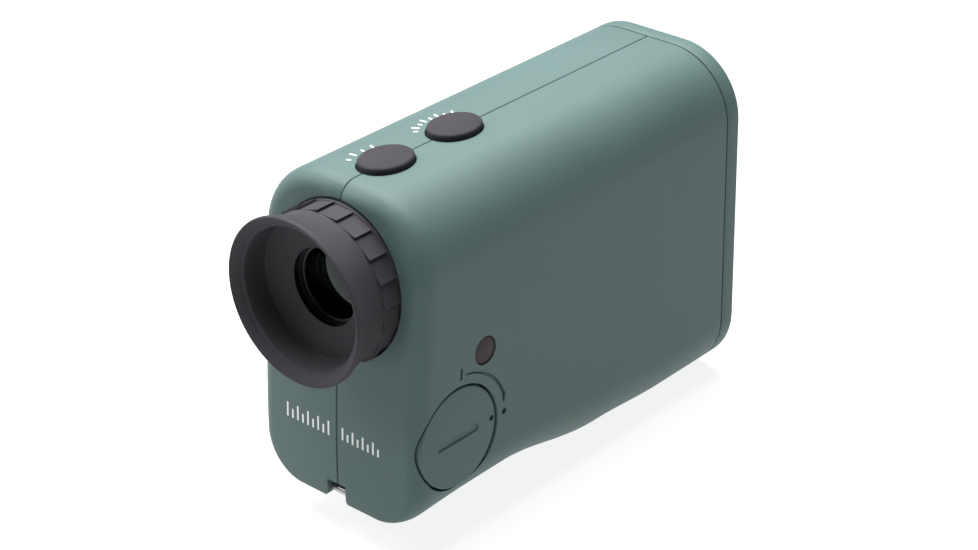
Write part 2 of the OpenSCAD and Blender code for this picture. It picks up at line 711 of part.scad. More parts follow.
left_shell();
right_shell();
front_bezel();
lens_plate();
front_gasket();
bezel_screws();
shell_screw();
side_plug();
lanyard_pin();
objective_lens();
objective_retaining_ring();
objective_barrel();
receiver_lens();
receiver_retaining_ring();
receiver_barrel();
receiver_board();
receiver_sensor();
prism_cradle();
roof_prism();
half_penta_prism();
laser_diode();
laser_board();
chassis_plate();
main_board();
board_chips();
board_screws();
flex_cable();
display_glass();
eyepiece_tube();
eyepiece_o_ring();
diopter_ring();
eyecup();
focus_sleeve();
eye_lens();
field_lens();
eyepiece_retaining_ring();
mode_button();
power_button();
button_board();
dome_switches();
battery_tube();
battery();
battery_spring();
cap_contact();
battery_cap();
cap_o_ring();
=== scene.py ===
"""Looks of a compact one-eyed laser rangefinder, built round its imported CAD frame.

Sizes are in millimetres until they reach a mesh, which is in metres. Distances called
d run forward from the top of the rear face.
"""

import json
import logging
import math
from contextlib import contextmanager
from dataclasses import dataclass
from enum import Enum
from functools import lru_cache
from typing import Callable, Iterator, Sequence

import bmesh
import bpy
from mathutils import Matrix, Vector


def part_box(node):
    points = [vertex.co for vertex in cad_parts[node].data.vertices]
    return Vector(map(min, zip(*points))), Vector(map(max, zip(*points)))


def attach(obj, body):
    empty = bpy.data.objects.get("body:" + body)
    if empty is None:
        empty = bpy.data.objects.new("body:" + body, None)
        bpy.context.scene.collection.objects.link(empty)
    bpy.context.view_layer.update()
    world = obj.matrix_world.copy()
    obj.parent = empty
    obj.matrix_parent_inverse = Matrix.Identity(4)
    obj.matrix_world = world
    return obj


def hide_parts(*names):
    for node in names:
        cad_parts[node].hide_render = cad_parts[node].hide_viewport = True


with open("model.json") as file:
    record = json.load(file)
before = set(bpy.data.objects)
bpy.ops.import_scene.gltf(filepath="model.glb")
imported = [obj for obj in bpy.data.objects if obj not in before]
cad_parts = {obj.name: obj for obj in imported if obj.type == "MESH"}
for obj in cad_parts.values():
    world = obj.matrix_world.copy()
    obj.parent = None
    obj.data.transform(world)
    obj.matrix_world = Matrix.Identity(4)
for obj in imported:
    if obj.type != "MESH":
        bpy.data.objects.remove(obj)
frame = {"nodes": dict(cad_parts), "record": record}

logging.basicConfig(level=logging.INFO, format="%(message)s")
LOG = logging.getLogger("rangefinder")
MM = 0.001
Pair = tuple[float, float]
Point = tuple[float, float, float]


class Axis(Enum):
    """Direction that a turned piece or a rod runs along."""

    X = (1.0, 0.0, 0.0)
    Y = (0.0, 1.0, 0.0)

    def at(self, centre: Point, radius: float, along: float) -> Point:
        """Point of a profile above the axis."""
        side = (0.0, 0.0, 1.0)
        return tuple(c + radius * s + along * a for c, s, a in zip(centre, side, self.value))


class Side(Enum):
    """Half of the body, by the sign of X."""

    LEFT = -1
    RIGHT = 1


# ------------------------------------------------------------------ bench work


def select_only(*objects: bpy.types.Object) -> None:
    """Leaves object mode with just these objects selected.

    Args:
        objects: What to select; the first becomes active.
    """
    if bpy.context.mode != "OBJECT":
        bpy.ops.object.mode_set(mode="OBJECT")
    bpy.ops.object.select_all(action="DESELECT")
    for one in objects:
        one.select_set(True)
    bpy.context.view_layer.objects.active = objects[0] if objects else None


@contextmanager
def editing(piece: bpy.types.Object) -> Iterator[None]:
    """Edit mode on one piece for the length of a with block."""
    select_only(piece)
    bpy.ops.object.mode_set(mode="EDIT")
    try:
        yield
    finally:
        bpy.ops.object.mode_set(mode="OBJECT")


def pick(piece: bpy.types.Object, kind: str, test: Callable) -> int:
    """Selects part of a mesh in edit mode.

    Args:
        piece: The object being edited.
        kind: "verts", "edges" or "faces".
        test: Says of each element whether it is wanted.

    Returns:
        How many were selected.
    """
    bpy.ops.mesh.select_mode(type={"verts": "VERT", "edges": "EDGE", "faces": "FACE"}[kind])
    bpy.ops.mesh.select_all(action="DESELECT")
    mesh = bmesh.from_edit_mesh(piece.data)
    found = [one for one in getattr(mesh, kind) if test(one)]
    for one in found:
        one.select_set(True)
    mesh.select_flush_mode()
    bmesh.update_edit_mesh(piece.data)
    return len(found)


def tidy_mesh(piece: bpy.types.Object, reach: float = 0.002) -> None:
    """Merges doubled vertices and turns every face outwards.

    Args:
        piece: A closed mesh.
        reach: Distance within which vertices merge.
    """
    with editing(piece):
        bpy.ops.mesh.select_mode(type="VERT")
        bpy.ops.mesh.select_all(action="SELECT")
        bpy.ops.mesh.remove_doubles(threshold=reach * MM)
        bpy.ops.mesh.dissolve_degenerate(threshold=reach * MM / 2)
        bpy.ops.mesh.select_all(action="SELECT")
        bpy.ops.mesh.normals_make_consistent(inside=False)


def sweep(rings: Sequence[Sequence[Point]], closed: bool = False) -> bpy.types.Object:
    """Extrudes a ring of edges from place to place.

    Args:
        rings: Outlines with the same number of points, in order along the piece.
        closed: Whether the last ring joins the first; otherwise both ends are filled.

    Returns:
        The swept object.
    """
    select_only()
    bpy.ops.mesh.primitive_circle_add(vertices=len(rings[0]), radius=MM)
    piece = bpy.context.object
    with editing(piece):
        bpy.ops.mesh.select_mode(type="EDGE")
        bpy.ops.mesh.select_all(action="SELECT")
        mesh = bmesh.from_edit_mesh(piece.data)
        mesh.verts.ensure_lookup_table()
        before = {tuple(v.co): v.index for v in mesh.verts}
        route = [*rings, rings[0]] if closed else rings
        for step, ring in enumerate(route):
            if step:
                bpy.ops.mesh.extrude_edges_indiv()
            elif not closed:
                bpy.ops.mesh.edge_face_add()
            mesh = bmesh.from_edit_mesh(piece.data)
            moved = {}
            for vertex in mesh.verts:
                if vertex.select:
                    place = before[tuple(vertex.co)]
                    vertex.co = Vector(ring[place]) * MM
                    moved[tuple(vertex.co)] = place
            before = moved
            bmesh.update_edit_mesh(piece.data)
        if not closed:
            bpy.ops.mesh.edge_face_add()
    tidy_mesh(piece)
    return piece


def turned(profile: Sequence[Pair], centre: Point, axis: Axis, steps: int = 96) -> bpy.types.Object:
    """Draws a profile as a chain of extruded vertices and spins it once round.

    Args:
        profile: Radius and distance along the axis, in order; it closes on itself unless
            both ends are on the axis.
        centre: Point that distances run from.
        axis: Direction of the axis.
        steps: Segments round the piece.

    Returns:
        The turned object.
    """
    points = [Vector(axis.at(centre, r, t)) * MM for r, t in profile]
    if profile[0][0] > 0 or profile[-1][0] > 0:
        points.append(points[0])
    select_only()
    bpy.ops.mesh.primitive_plane_add(size=MM, location=points[0])
    piece = bpy.context.object
    bpy.ops.object.transform_apply(location=True)
    with editing(piece):
        bpy.ops.mesh.select_mode(type="VERT")
        bpy.ops.mesh.select_all(action="SELECT")
        bpy.ops.mesh.merge(type="CENTER")
        for start, end in zip(points, points[1:]):
            bpy.ops.mesh.extrude_vertices_move(TRANSFORM_OT_translate={"value": end - start})
        bpy.ops.mesh.select_all(action="SELECT")
        bpy.ops.mesh.spin(steps=steps, angle=math.tau, center=Vector(centre) * MM, axis=axis.value)
    tidy_mesh(piece)
    return piece


def rod(start: Point, axis: Axis, radius: float, length: float, sides: int = 48) -> bpy.types.Object:
    """Plain round bar, used to cut or to fill another piece."""
    return turned([(0, 0), (radius, 0), (radius, length), (0, length)], start, axis, sides)


def block(low: Point, high: Point) -> bpy.types.Object:
    """Plain box between two corners, used to cut or to fill another piece."""
    select_only()
    centre = [(a + b) / 2 * MM for a, b in zip(low, high)]
    bpy.ops.mesh.primitive_cube_add(size=1, location=centre)
    box = bpy.context.object
    box.scale = [(b - a) * MM for a, b in zip(low, high)]
    bpy.ops.object.transform_apply(location=True, rotation=True, scale=True)
    return box


def carve(target: bpy.types.Object, *tools: bpy.types.Object, how: str = "DIFFERENCE") -> None:
    """Cuts each tool from a piece, or adds it, and removes the tool.

    Args:
        target: The piece that is kept.
        tools: Closed meshes.
        how: The Boolean modifier's operation.
    """
    for tool in tools:
        select_only(target)
        step = target.modifiers.new("carve", "BOOLEAN")
        step.operation = how
        step.solver = "MANIFOLD"
        step.object = tool
        bpy.ops.object.modifier_apply(modifier=step.name)
        bpy.data.objects.remove(tool)


def joined(pieces: Sequence[bpy.types.Object]) -> bpy.types.Object:
    """Joins several objects into the first."""
    select_only(*pieces)
    bpy.ops.object.join()
    return bpy.context.object


def through(points: Sequence[Pair], steps: int) -> list[Pair]:
    """Smooth curve through points of a profile.

    Args:
        points: Radius and distance pairs.
        steps: Stretches between each two of them.

    Returns:
        The points of the curve, ends included.
    """
    line = [points[0], *points, points[-1]]
    made = []
    for a, b, c, d in zip(line, line[1:], line[2:], line[3:]):
        for k in range(steps):
            t = k / steps
            made.append(tuple(
                b[i] + 0.5 * t * (c[i] - a[i] + t * (2 * a[i] - 5 * b[i] + 4 * c[i] - d[i]
                                                     + t * (3 * (b[i] - c[i]) + d[i] - a[i])))
                for i in (0, 1)))
    return [*made, points[-1]]


def arc(centre: Pair, radius: float, start: float, end: float, steps: int) -> list[Pair]:
    """Points along an arc, angles in degrees from the first axis."""
    turn = [math.radians(start + (end - start) * k / steps) for k in range(steps + 1)]
    return [(centre[0] + radius * math.cos(a), centre[1] + radius * math.sin(a)) for a in turn]


def ease(t: float) -> float:
    """Smooth step from 0 to 1."""
    t = min(max(t, 0.0), 1.0)
    return t * t * (3 - 2 * t)


# ------------------------------------------------------------------ materials


class Graph:
    """Short way to write one node tree."""

    def __init__(self, tree: bpy.types.NodeTree) -> None:
        """Empties the tree."""
        self.tree = tree
        tree.nodes.clear()

    def add(self, kind: str, sockets: dict | None = None, **settings) -> bpy.types.Node:
        """Adds a node.

        Args:
            kind: The node's type name.
            sockets: Values, or output sockets to link, by input name or number.
            settings: The node's own properties.

        Returns:
            The new node.
        """
        node = self.tree.nodes.new(kind)
        for name, value in settings.items():
            setattr(node, name, value)
        for name, value in (sockets or {}).items():
            if isinstance(value, bpy.types.NodeSocket):
                self.tree.links.new(value, node.inputs[name])
            else:
                node.inputs[name].default_value = value
        return node

    def sum(self, operation: str, a: object, b: object) -> bpy.types.NodeSocket:
        """One step of arithmetic on two values or sockets."""
        return self.add("ShaderNodeMath", {0: a, 1: b}, operation=operation).outputs[0]

    def ramp(self, value: object, low: float, high: float, out: Pair) -> bpy.types.NodeSocket:
        """Maps a range onto another, clamped."""
        sockets = {"Value": value, "From Min": low, "From Max": high, "To Min": out[0], "To Max": out[1]}
        return self.add("ShaderNodeMapRange", sockets).outputs["Result"]


def effect(name: str, inputs: dict[str, object], outputs: dict[str, str],
           wire: Callable[[Graph, dict], dict]) -> bpy.types.NodeTree:
    """Makes a shared shader effect once.

    Args:
        name: Name of the node group.
        inputs: Default values by socket name; None is a vector that has to be linked.
        outputs: Socket types by name.
        wire: Builds the inside from the graph and the group's input sockets, and returns
            the sockets to put out by name.

    Returns:
        The node group.
    """
    if name in bpy.data.node_groups:
        return bpy.data.node_groups[name]
    group = bpy.data.node_groups.new(name, "ShaderNodeTree")
    for label, value in inputs.items():
        kind = "NodeSocketVector" if value is None else (
            "NodeSocketColor" if isinstance(value, tuple) else "NodeSocketFloat")
        socket = group.interface.new_socket(label, in_out="INPUT", socket_type=kind)
        if value is not None:
            socket.default_value = value
    for label, kind in outputs.items():
        group.interface.new_socket(label, in_out="OUTPUT", socket_type=kind)
    graph = Graph(group)
    entry = graph.add("NodeGroupInput")
    made = wire(graph, {one.name: one for one in entry.outputs if one.name})
    graph.add("NodeGroupOutput", made)
    return group


def tone_drift() -> bpy.types.NodeTree:
    """Slow change between two close tones, as in a moulded or sprayed surface."""
    def wire(g: Graph, i: dict) -> dict:
        noise = g.add("ShaderNodeTexNoise", {"Vector": i["Vector"], "Scale": i["Scale"], "Detail": 4.0})
        share = g.ramp(noise.outputs["Fac"], 0.35, 0.65, (0.0, 1.0))
        mix = g.add("ShaderNodeMix", {0: share, 6: i["Tone A"], 7: i["Tone B"]}, data_type="RGBA")
        return {"Color": mix.outputs[2], "Share": share}
    grey = (0.5, 0.5, 0.5, 1.0)
    return effect("tone_drift", {"Vector": None, "Scale": 60.0, "Tone A": grey, "Tone B": grey},
                  {"Color": "NodeSocketColor", "Share": "NodeSocketFloat"}, wire)


def fine_grain() -> bpy.types.NodeTree:
    """Height of a fine moulded grain, a slower ripple under it, and a mask of its pits."""
    def wire(g: Graph, i: dict) -> dict:
        grain = g.add("ShaderNodeTexNoise", {"Vector": i["Vector"], "Scale": i["Scale"], "Detail": 3.0,
                                             "Roughness": 0.6})
        slow_scale = g.sum("MULTIPLY", i["Scale"], 0.06)
        slow = g.add("ShaderNodeTexNoise", {"Vector": i["Vector"], "Scale": slow_scale, "Detail": 2.0})
        rippled = g.sum("MULTIPLY", slow.outputs["Fac"], i["Ripple"])
        height = g.sum("ADD", grain.outputs["Fac"], rippled)
        pits = g.ramp(grain.outputs["Fac"], 0.42, 0.3, (0.0, 1.0))
        return {"Height": height, "Pits": pits}
    return effect("fine_grain", {"Vector": None, "Scale": 4000.0, "Ripple": 1.0},
                  {"Height": "NodeSocketFloat", "Pits": "NodeSocketFloat"}, wire)


def lint() -> bpy.types.NodeTree:
    """Mask of a few specks of dust."""
    def wire(g: Graph, i: dict) -> dict:
        cells = g.add("ShaderNodeTexVoronoi", {"Vector": i["Vector"], "Scale": i["Scale"],
                                               "Randomness": 1.0})
        speck = g.ramp(cells.outputs["Distance"], 0.055, 0.02, (0.0, 1.0))
        pick_some = g.ramp(g.add("ShaderNodeSeparateColor", {0: cells.outputs["Color"]}).outputs[0],
                           0.9, 0.94, (0.0, 1.0))
        return {"Mask": g.sum("MULTIPLY", speck, pick_some)}
    return effect("lint", {"Vector": None, "Scale": 500.0}, {"Mask": "NodeSocketFloat"}, wire)


@dataclass(frozen=True)
class Finish:
    """A surface with two close tones, a varying gloss and a fine relief.

    Colours are linear; rough gives the lowest and highest roughness; bump is the depth of
    the relief in millimetres.
    """

    name: str
    tone_a: Point
    tone_b: Point
    rough: Pair = (0.5, 0.6)
    drift: float = 60.0
    grain: float = 4000.0
    bump: float = 0.004
    ripple: float = 1.0
    metallic: float = 0.0
    specular: float = 0.5
    coat: float = 0.0
    dust: float = 0.0
    dust_tone: Point = (0.5, 0.5, 0.5)

    def relief(self, g: Graph, place: bpy.types.NodeSocket) -> bpy.types.NodeSocket:
        """Height of the surface's relief."""
        node = g.add("ShaderNodeGroup", node_tree=fine_grain())
        g.tree.links.new(place, node.inputs["Vector"])
        node.inputs["Scale"].default_value = self.grain
        node.inputs["Ripple"].default_value = self.ripple
        return node.outputs["Height"]

    def material(self) -> bpy.types.Material:
        """Makes the material, or finds it if it is made already.

        Returns:
            The material, named after the finish.
        """
        if self.name in bpy.data.materials:
            return bpy.data.materials[self.name]
        made = bpy.data.materials.new(self.name)
        made.use_nodes = True
        g = Graph(made.node_tree)
        place = g.add("ShaderNodeTexCoord").outputs["Object"]
        tone = g.add("ShaderNodeGroup", node_tree=tone_drift())
        g.tree.links.new(place, tone.inputs["Vector"])
        tone.inputs["Scale"].default_value = self.drift
        tone.inputs["Tone A"].default_value = (*self.tone_a, 1.0)
        tone.inputs["Tone B"].default_value = (*self.tone_b, 1.0)
        colour = tone.outputs["Color"]
        if self.dust:
            specks = g.add("ShaderNodeGroup", node_tree=lint())
            g.tree.links.new(place, specks.inputs["Vector"])
            share = g.sum("MULTIPLY", specks.outputs["Mask"], self.dust)
            mix = g.add("ShaderNodeMix", {0: share, 6: colour, 7: (*self.dust_tone, 1.0)},
                        data_type="RGBA")
            colour = mix.outputs[2]
        gloss = g.ramp(tone.outputs["Share"], 0.0, 1.0, self.rough)
        bump = g.add("ShaderNodeBump", {"Height": self.relief(g, place), "Distance": self.bump * MM,
                                        "Strength": 1.0})
        shader = g.add("ShaderNodeBsdfPrincipled", {
            "Base Color": colour, "Roughness": gloss, "Normal": bump.outputs[0],
            "Metallic": self.metallic, "Specular IOR Level": self.specular,
            "Coat Weight": self.coat, "Coat Roughness": 0.3})
        g.add("ShaderNodeOutputMaterial", {"Surface": shader.outputs[0]})
        return made


@dataclass(frozen=True)
class CoatedGlass:
    """Lens with a thin coloured coating that shows at a glancing angle; clear unless its body tint is darkened
    as painted shade.
    """

    name: str
    coating: Point = (0.25, 0.30, 0.62)
    body: Point = (0.93, 0.96, 0.98)

    def material(self) -> bpy.types.Material:
        """Makes the glass, or finds it."""
        if self.name in bpy.data.materials:
            return bpy.data.materials[self.name]
        made = bpy.data.materials.new(self.name)
        made.use_nodes = True
        g = Graph(made.node_tree)
        place = g.add("ShaderNodeTexCoord").outputs["Object"]
        drift = g.add("ShaderNodeGroup", node_tree=tone_drift())
        g.tree.links.new(place, drift.inputs["Vector"])
        drift.inputs["Scale"].default_value = 25.0
        drift.inputs["Tone A"].default_value = (*self.body, 1.0)
        drift.inputs["Tone B"].default_value = (*[c * 0.97 for c in self.body], 1.0)
        smear = g.ramp(drift.outputs["Share"], 0.0, 1.0, (0.01, 0.035))
        shader = g.add("ShaderNodeBsdfPrincipled", {
            "Base Color": drift.outputs["Color"], "Roughness": smear, "Transmission Weight": 1.0,
            "IOR": 1.5, "Specular IOR Level": 0.5, "Specular Tint": (*self.coating, 1.0),
            "Coat Weight": 0.08, "Coat Tint": (*self.body, 1.0), "Coat Roughness": 0.02,
            "Metallic": 0.0})
        g.add("ShaderNodeOutputMaterial", {"Surface": shader.outputs[0]})
        return made


SHELL_PAINT = Finish("soft_touch_green", (0.082, 0.134, 0.128), (0.088, 0.143, 0.137),
                     rough=(0.50, 0.56), drift=45.0, grain=5200.0, bump=0.0035, ripple=0.7,
                     specular=0.24, dust=0.25, dust_tone=(0.42, 0.46, 0.45))
CUP_RUBBER = Finish("eyecup_rubber", (0.042, 0.039, 0.046), (0.049, 0.046, 0.053),
                    rough=(0.62, 0.74), drift=90.0, grain=3200.0, bump=0.006, specular=0.15,
                    dust=0.3, dust_tone=(0.2, 0.2, 0.21))
KEY_RUBBER = Finish("keypad_rubber", (0.038, 0.036, 0.041), (0.044, 0.042, 0.047),
                    rough=(0.68, 0.76), drift=120.0, grain=4200.0, bump=0.004, specular=0.1,
                    dust=0.25, dust_tone=(0.22, 0.22, 0.23))
PLUG_RUBBER = Finish("plug_rubber", (0.046, 0.037, 0.042), (0.052, 0.042, 0.047),
                     rough=(0.55, 0.65), drift=120.0, grain=4200.0, bump=0.004, specular=0.2)
OPTIC_BLACK = Finish("anodised_black", (0.010, 0.010, 0.012), (0.016, 0.016, 0.018),
                           rough=(0.34, 0.46), bump=0.003, specular=0.4)
PLATE_BLACK = Finish("lens_plate_black", (0.012, 0.012, 0.013), (0.018, 0.018, 0.020),
                     rough=(0.38, 0.5), grain=6000.0, bump=0.003, dust=0.2)
STEEL = Finish("turned_steel", (0.36, 0.35, 0.34), (0.44, 0.43, 0.42), rough=(0.28, 0.4),
                     metallic=1.0, bump=0.0015)
SCREW_STEEL = Finish("screw_steel", (0.52, 0.52, 0.53), (0.60, 0.60, 0.60), rough=(0.25, 0.4),
                           metallic=1.0, bump=0.002)
BRASS = Finish("plated_brass", (0.70, 0.52, 0.22), (0.78, 0.60, 0.28), rough=(0.22, 0.38),
               metallic=1.0, grain=3000.0, bump=0.0015)
SOLDER_MASK = Finish("solder_mask", (0.02, 0.13, 0.06), (0.03, 0.18, 0.09), rough=(0.25, 0.4),
                     drift=700.0, grain=2500.0, bump=0.006, coat=0.4)
CHIP_BLACK = Finish("chip_epoxy", (0.014, 0.014, 0.015), (0.022, 0.022, 0.023), rough=(0.5, 0.65),
                    drift=900.0, grain=7000.0, bump=0.004)
CELL_SLEEVE = Finish("cell_sleeve", (0.12, 0.14, 0.18), (0.15, 0.17, 0.21), rough=(0.2, 0.3),
                     drift=200.0, grain=1500.0, bump=0.003, coat=0.3)
ALLOY = Finish("milled_alloy", (0.52, 0.53, 0.55), (0.60, 0.61, 0.62), rough=(0.3, 0.45),
               metallic=1.0, drift=400.0, grain=3500.0, bump=0.004)
INK = Finish("white_ink", (0.78, 0.80, 0.79), (0.88, 0.90, 0.89), rough=(0.45, 0.6), drift=900.0,
             grain=6000.0, bump=0.003)
FRONT_GLASS = CoatedGlass("front_lens_glass")
# The dark body tint of the eye and field lenses is painted shade: it stands in for the dark inside of the
# eyepiece seen through the glass.
EYE_GLASS_PAINTED_SHADE = CoatedGlass("eye_lens_glass", coating=(0.30, 0.40, 0.42), body=(0.10, 0.11, 0.12))
INNER_GLASS = CoatedGlass("prism_glass", coating=(0.9, 0.9, 0.95))


def hand_over(piece: bpy.types.Object, name: str, body: str, finish: Finish | CoatedGlass,
              stands_for: Sequence[str] = (), crease: float = 32.0) -> bpy.types.Object:
    """Names, dresses and places a finished piece on its body.

    Args:
        piece: The finished mesh.
        name: The piece's name.
        body: Body that it rides on.
        finish: Its surface.
        stands_for: CAD nodes that it is shown instead of.
        crease: Angle in degrees over which an edge stays sharp.

    Returns:
        The same piece.
    """
    piece.name = name
    piece.data.name = name
    piece.data.materials.clear()
    piece.data.materials.append(finish.material())
    select_only(piece)
    bpy.ops.object.shade_smooth_by_angle(angle=math.radians(crease))
    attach(piece, body)
    if stands_for:
        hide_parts(*stands_for)
    LOG.info("%s: %d faces on %s", name, len(piece.data.polygons), body)
    return piece


@lru_cache(maxsize=None)
def box_mm(node: str) -> tuple[Vector, Vector]:
    """Lowest and highest corner of a CAD node, in millimetres."""
    low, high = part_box(node)
    return low / MM, high / MM


def middle(node: str) -> Vector:
    """Centre of a CAD node's box, in millimetres."""
    low, high = box_mm(node)
    return (low + high) / 2


# ------------------------------------------------------------------ body form


@dataclass(frozen=True)
class BodyForm:
    """Outer form of the body, which the shells and the bezel share."""

    length: float = 88.3
    rear_lean: float = 4.7
    top_r: float = 14.0
    low_r: Pair = (9.5, 14.0)
    rim_r: float = 3.5
    foot_rim: float = 0.1
    bottom_line: tuple[Pair, ...] = ((-4.7, 6.8), (14.5, 7.6), (22.5, 7.6), (52.5, 1.0), (72.5, 0.0))
    lean_foot_z: float = 6.0
    lean_knee: float = 0.6
    lean_fade: float = 20.0
    corner_steps: int = 18
    side_steps: int = 12

    @property
    def half_w(self) -> float:
        """Half of the body's width."""
        return box_mm("right_shell")[1].x

    @property
    def top_z(self) -> float:
        """Height of the body without its keys."""
        return box_mm("front_bezel")[1].z

    @property
    def joint_y(self) -> float:
        """Where the shells end and the bezel begins."""
        return box_mm("right_shell")[1].y

    @property
    def rear_y(self) -> float:
        """Top of the rear face, from which distances d run."""
        return self.joint_y - self.length

    def bottom_z(self, d: float) -> float:
        """Height of the bottom line."""
        for (d0, z0), (d1, z1) in zip(self.bottom_line, self.bottom_line[1:]):
            if d < d1:
                return z0 + (z1 - z0) * ease((d - d0) / (d1 - d0))
        return self.bottom_line[-1][1]

    def lower_r(self, d: float) -> float:
        """Radius of the lower corners."""
        start, end = self.bottom_line[2][0], self.bottom_line[3][0]
        return self.low_r[0] + (self.low_r[1] - self.low_r[0]) * ease((d - start) / (end - start))

    def lean(self, d: float, z: float) -> float:
        """How far the skin is set back by the leaning rear face."""
        t = min(max((self.top_z - z) / (self.top_z - self.lean_foot_z), 0.0), 1.0)
        curve = 1 / (1 - self.lean_knee ** 2)
        share = 2 * curve * (1 - self.lean_knee) * t if t < self.lean_knee else 1 - curve * (1 - t) ** 2
        return -self.rear_lean * share * (1 - ease(d / self.lean_fade))

    def chain(self, d: float, inset: float, rim: float = 0.0) -> list[Pair]:
        """Right half of the section from bottom to top, drawn in from the skin.

        Args:
            d: Distance forward.
            inset: Depth under the skin.
            rim: Further depth where the rear edge is rounded, which is less under the foot.

        Returns:
            X and Z of each point.
        """
        w, top = self.half_w - inset - rim, self.top_z - inset - rim
        low = self.bottom_z(d) + inset + rim * self.foot_rim
        rb, rt = self.lower_r(d) - inset - rim * (1 + self.foot_rim) / 2, self.top_r - inset - rim
        corner = arc((w - rb, low + rb), rb, -90, 0, self.corner_steps)
        shoulder = arc((w - rt, top - rt), rt, 0, 90, self.corner_steps)
        z0, z1 = corner[-1][1], shoulder[0][1]
        side = [(w, z0 + (z1 - z0) * k / self.side_steps) for k in range(1, self.side_steps)]
        return [*corner, *side, *shoulder]

    def half_ring(self, d: float, inset: float, rim: float, seam_x: float, cut: float) -> list[Point]:
        """Closed ring of the right half, back down along the seam.

        Args:
            d: Distance forward.
            inset: Depth under the skin.
            rim: Further depth at the rounded rear edge.
            seam_x: Where the flat side stands.
            cut: Size of the chamfer between the skin and the flat side.

        Returns:
            The points, in order.
        """
        line = self.chain(d, inset, rim)
        low, high = line[0][1], line[-1][1]
        keep = 1 - 2 * cut / (high - low)
        seam = [(seam_x, low + cut + (z - low) * keep) for _, z in reversed(line)]
        ring = [(seam_x + cut, low), *line, (seam_x + cut, high), *seam]
        return [(x, self.rear_y + d + self.lean(d, z), z) for x, z in ring]

    def full_ring(self, y: float, inset: float) -> list[Point]:
        """Closed ring of the whole section at the deep front end."""
        line = self.chain(self.length, inset)
        return [(x, y, z) for x, z in [*line, *[(-x, z) for x, z in reversed(line)]]]

    def rear_face_y(self, z: float) -> float:
        """Place of the rear face at a height."""
        return self.rear_y + self.lean(0.0, z)


FORM = BodyForm()


# ------------------------------------------------------------------ shells


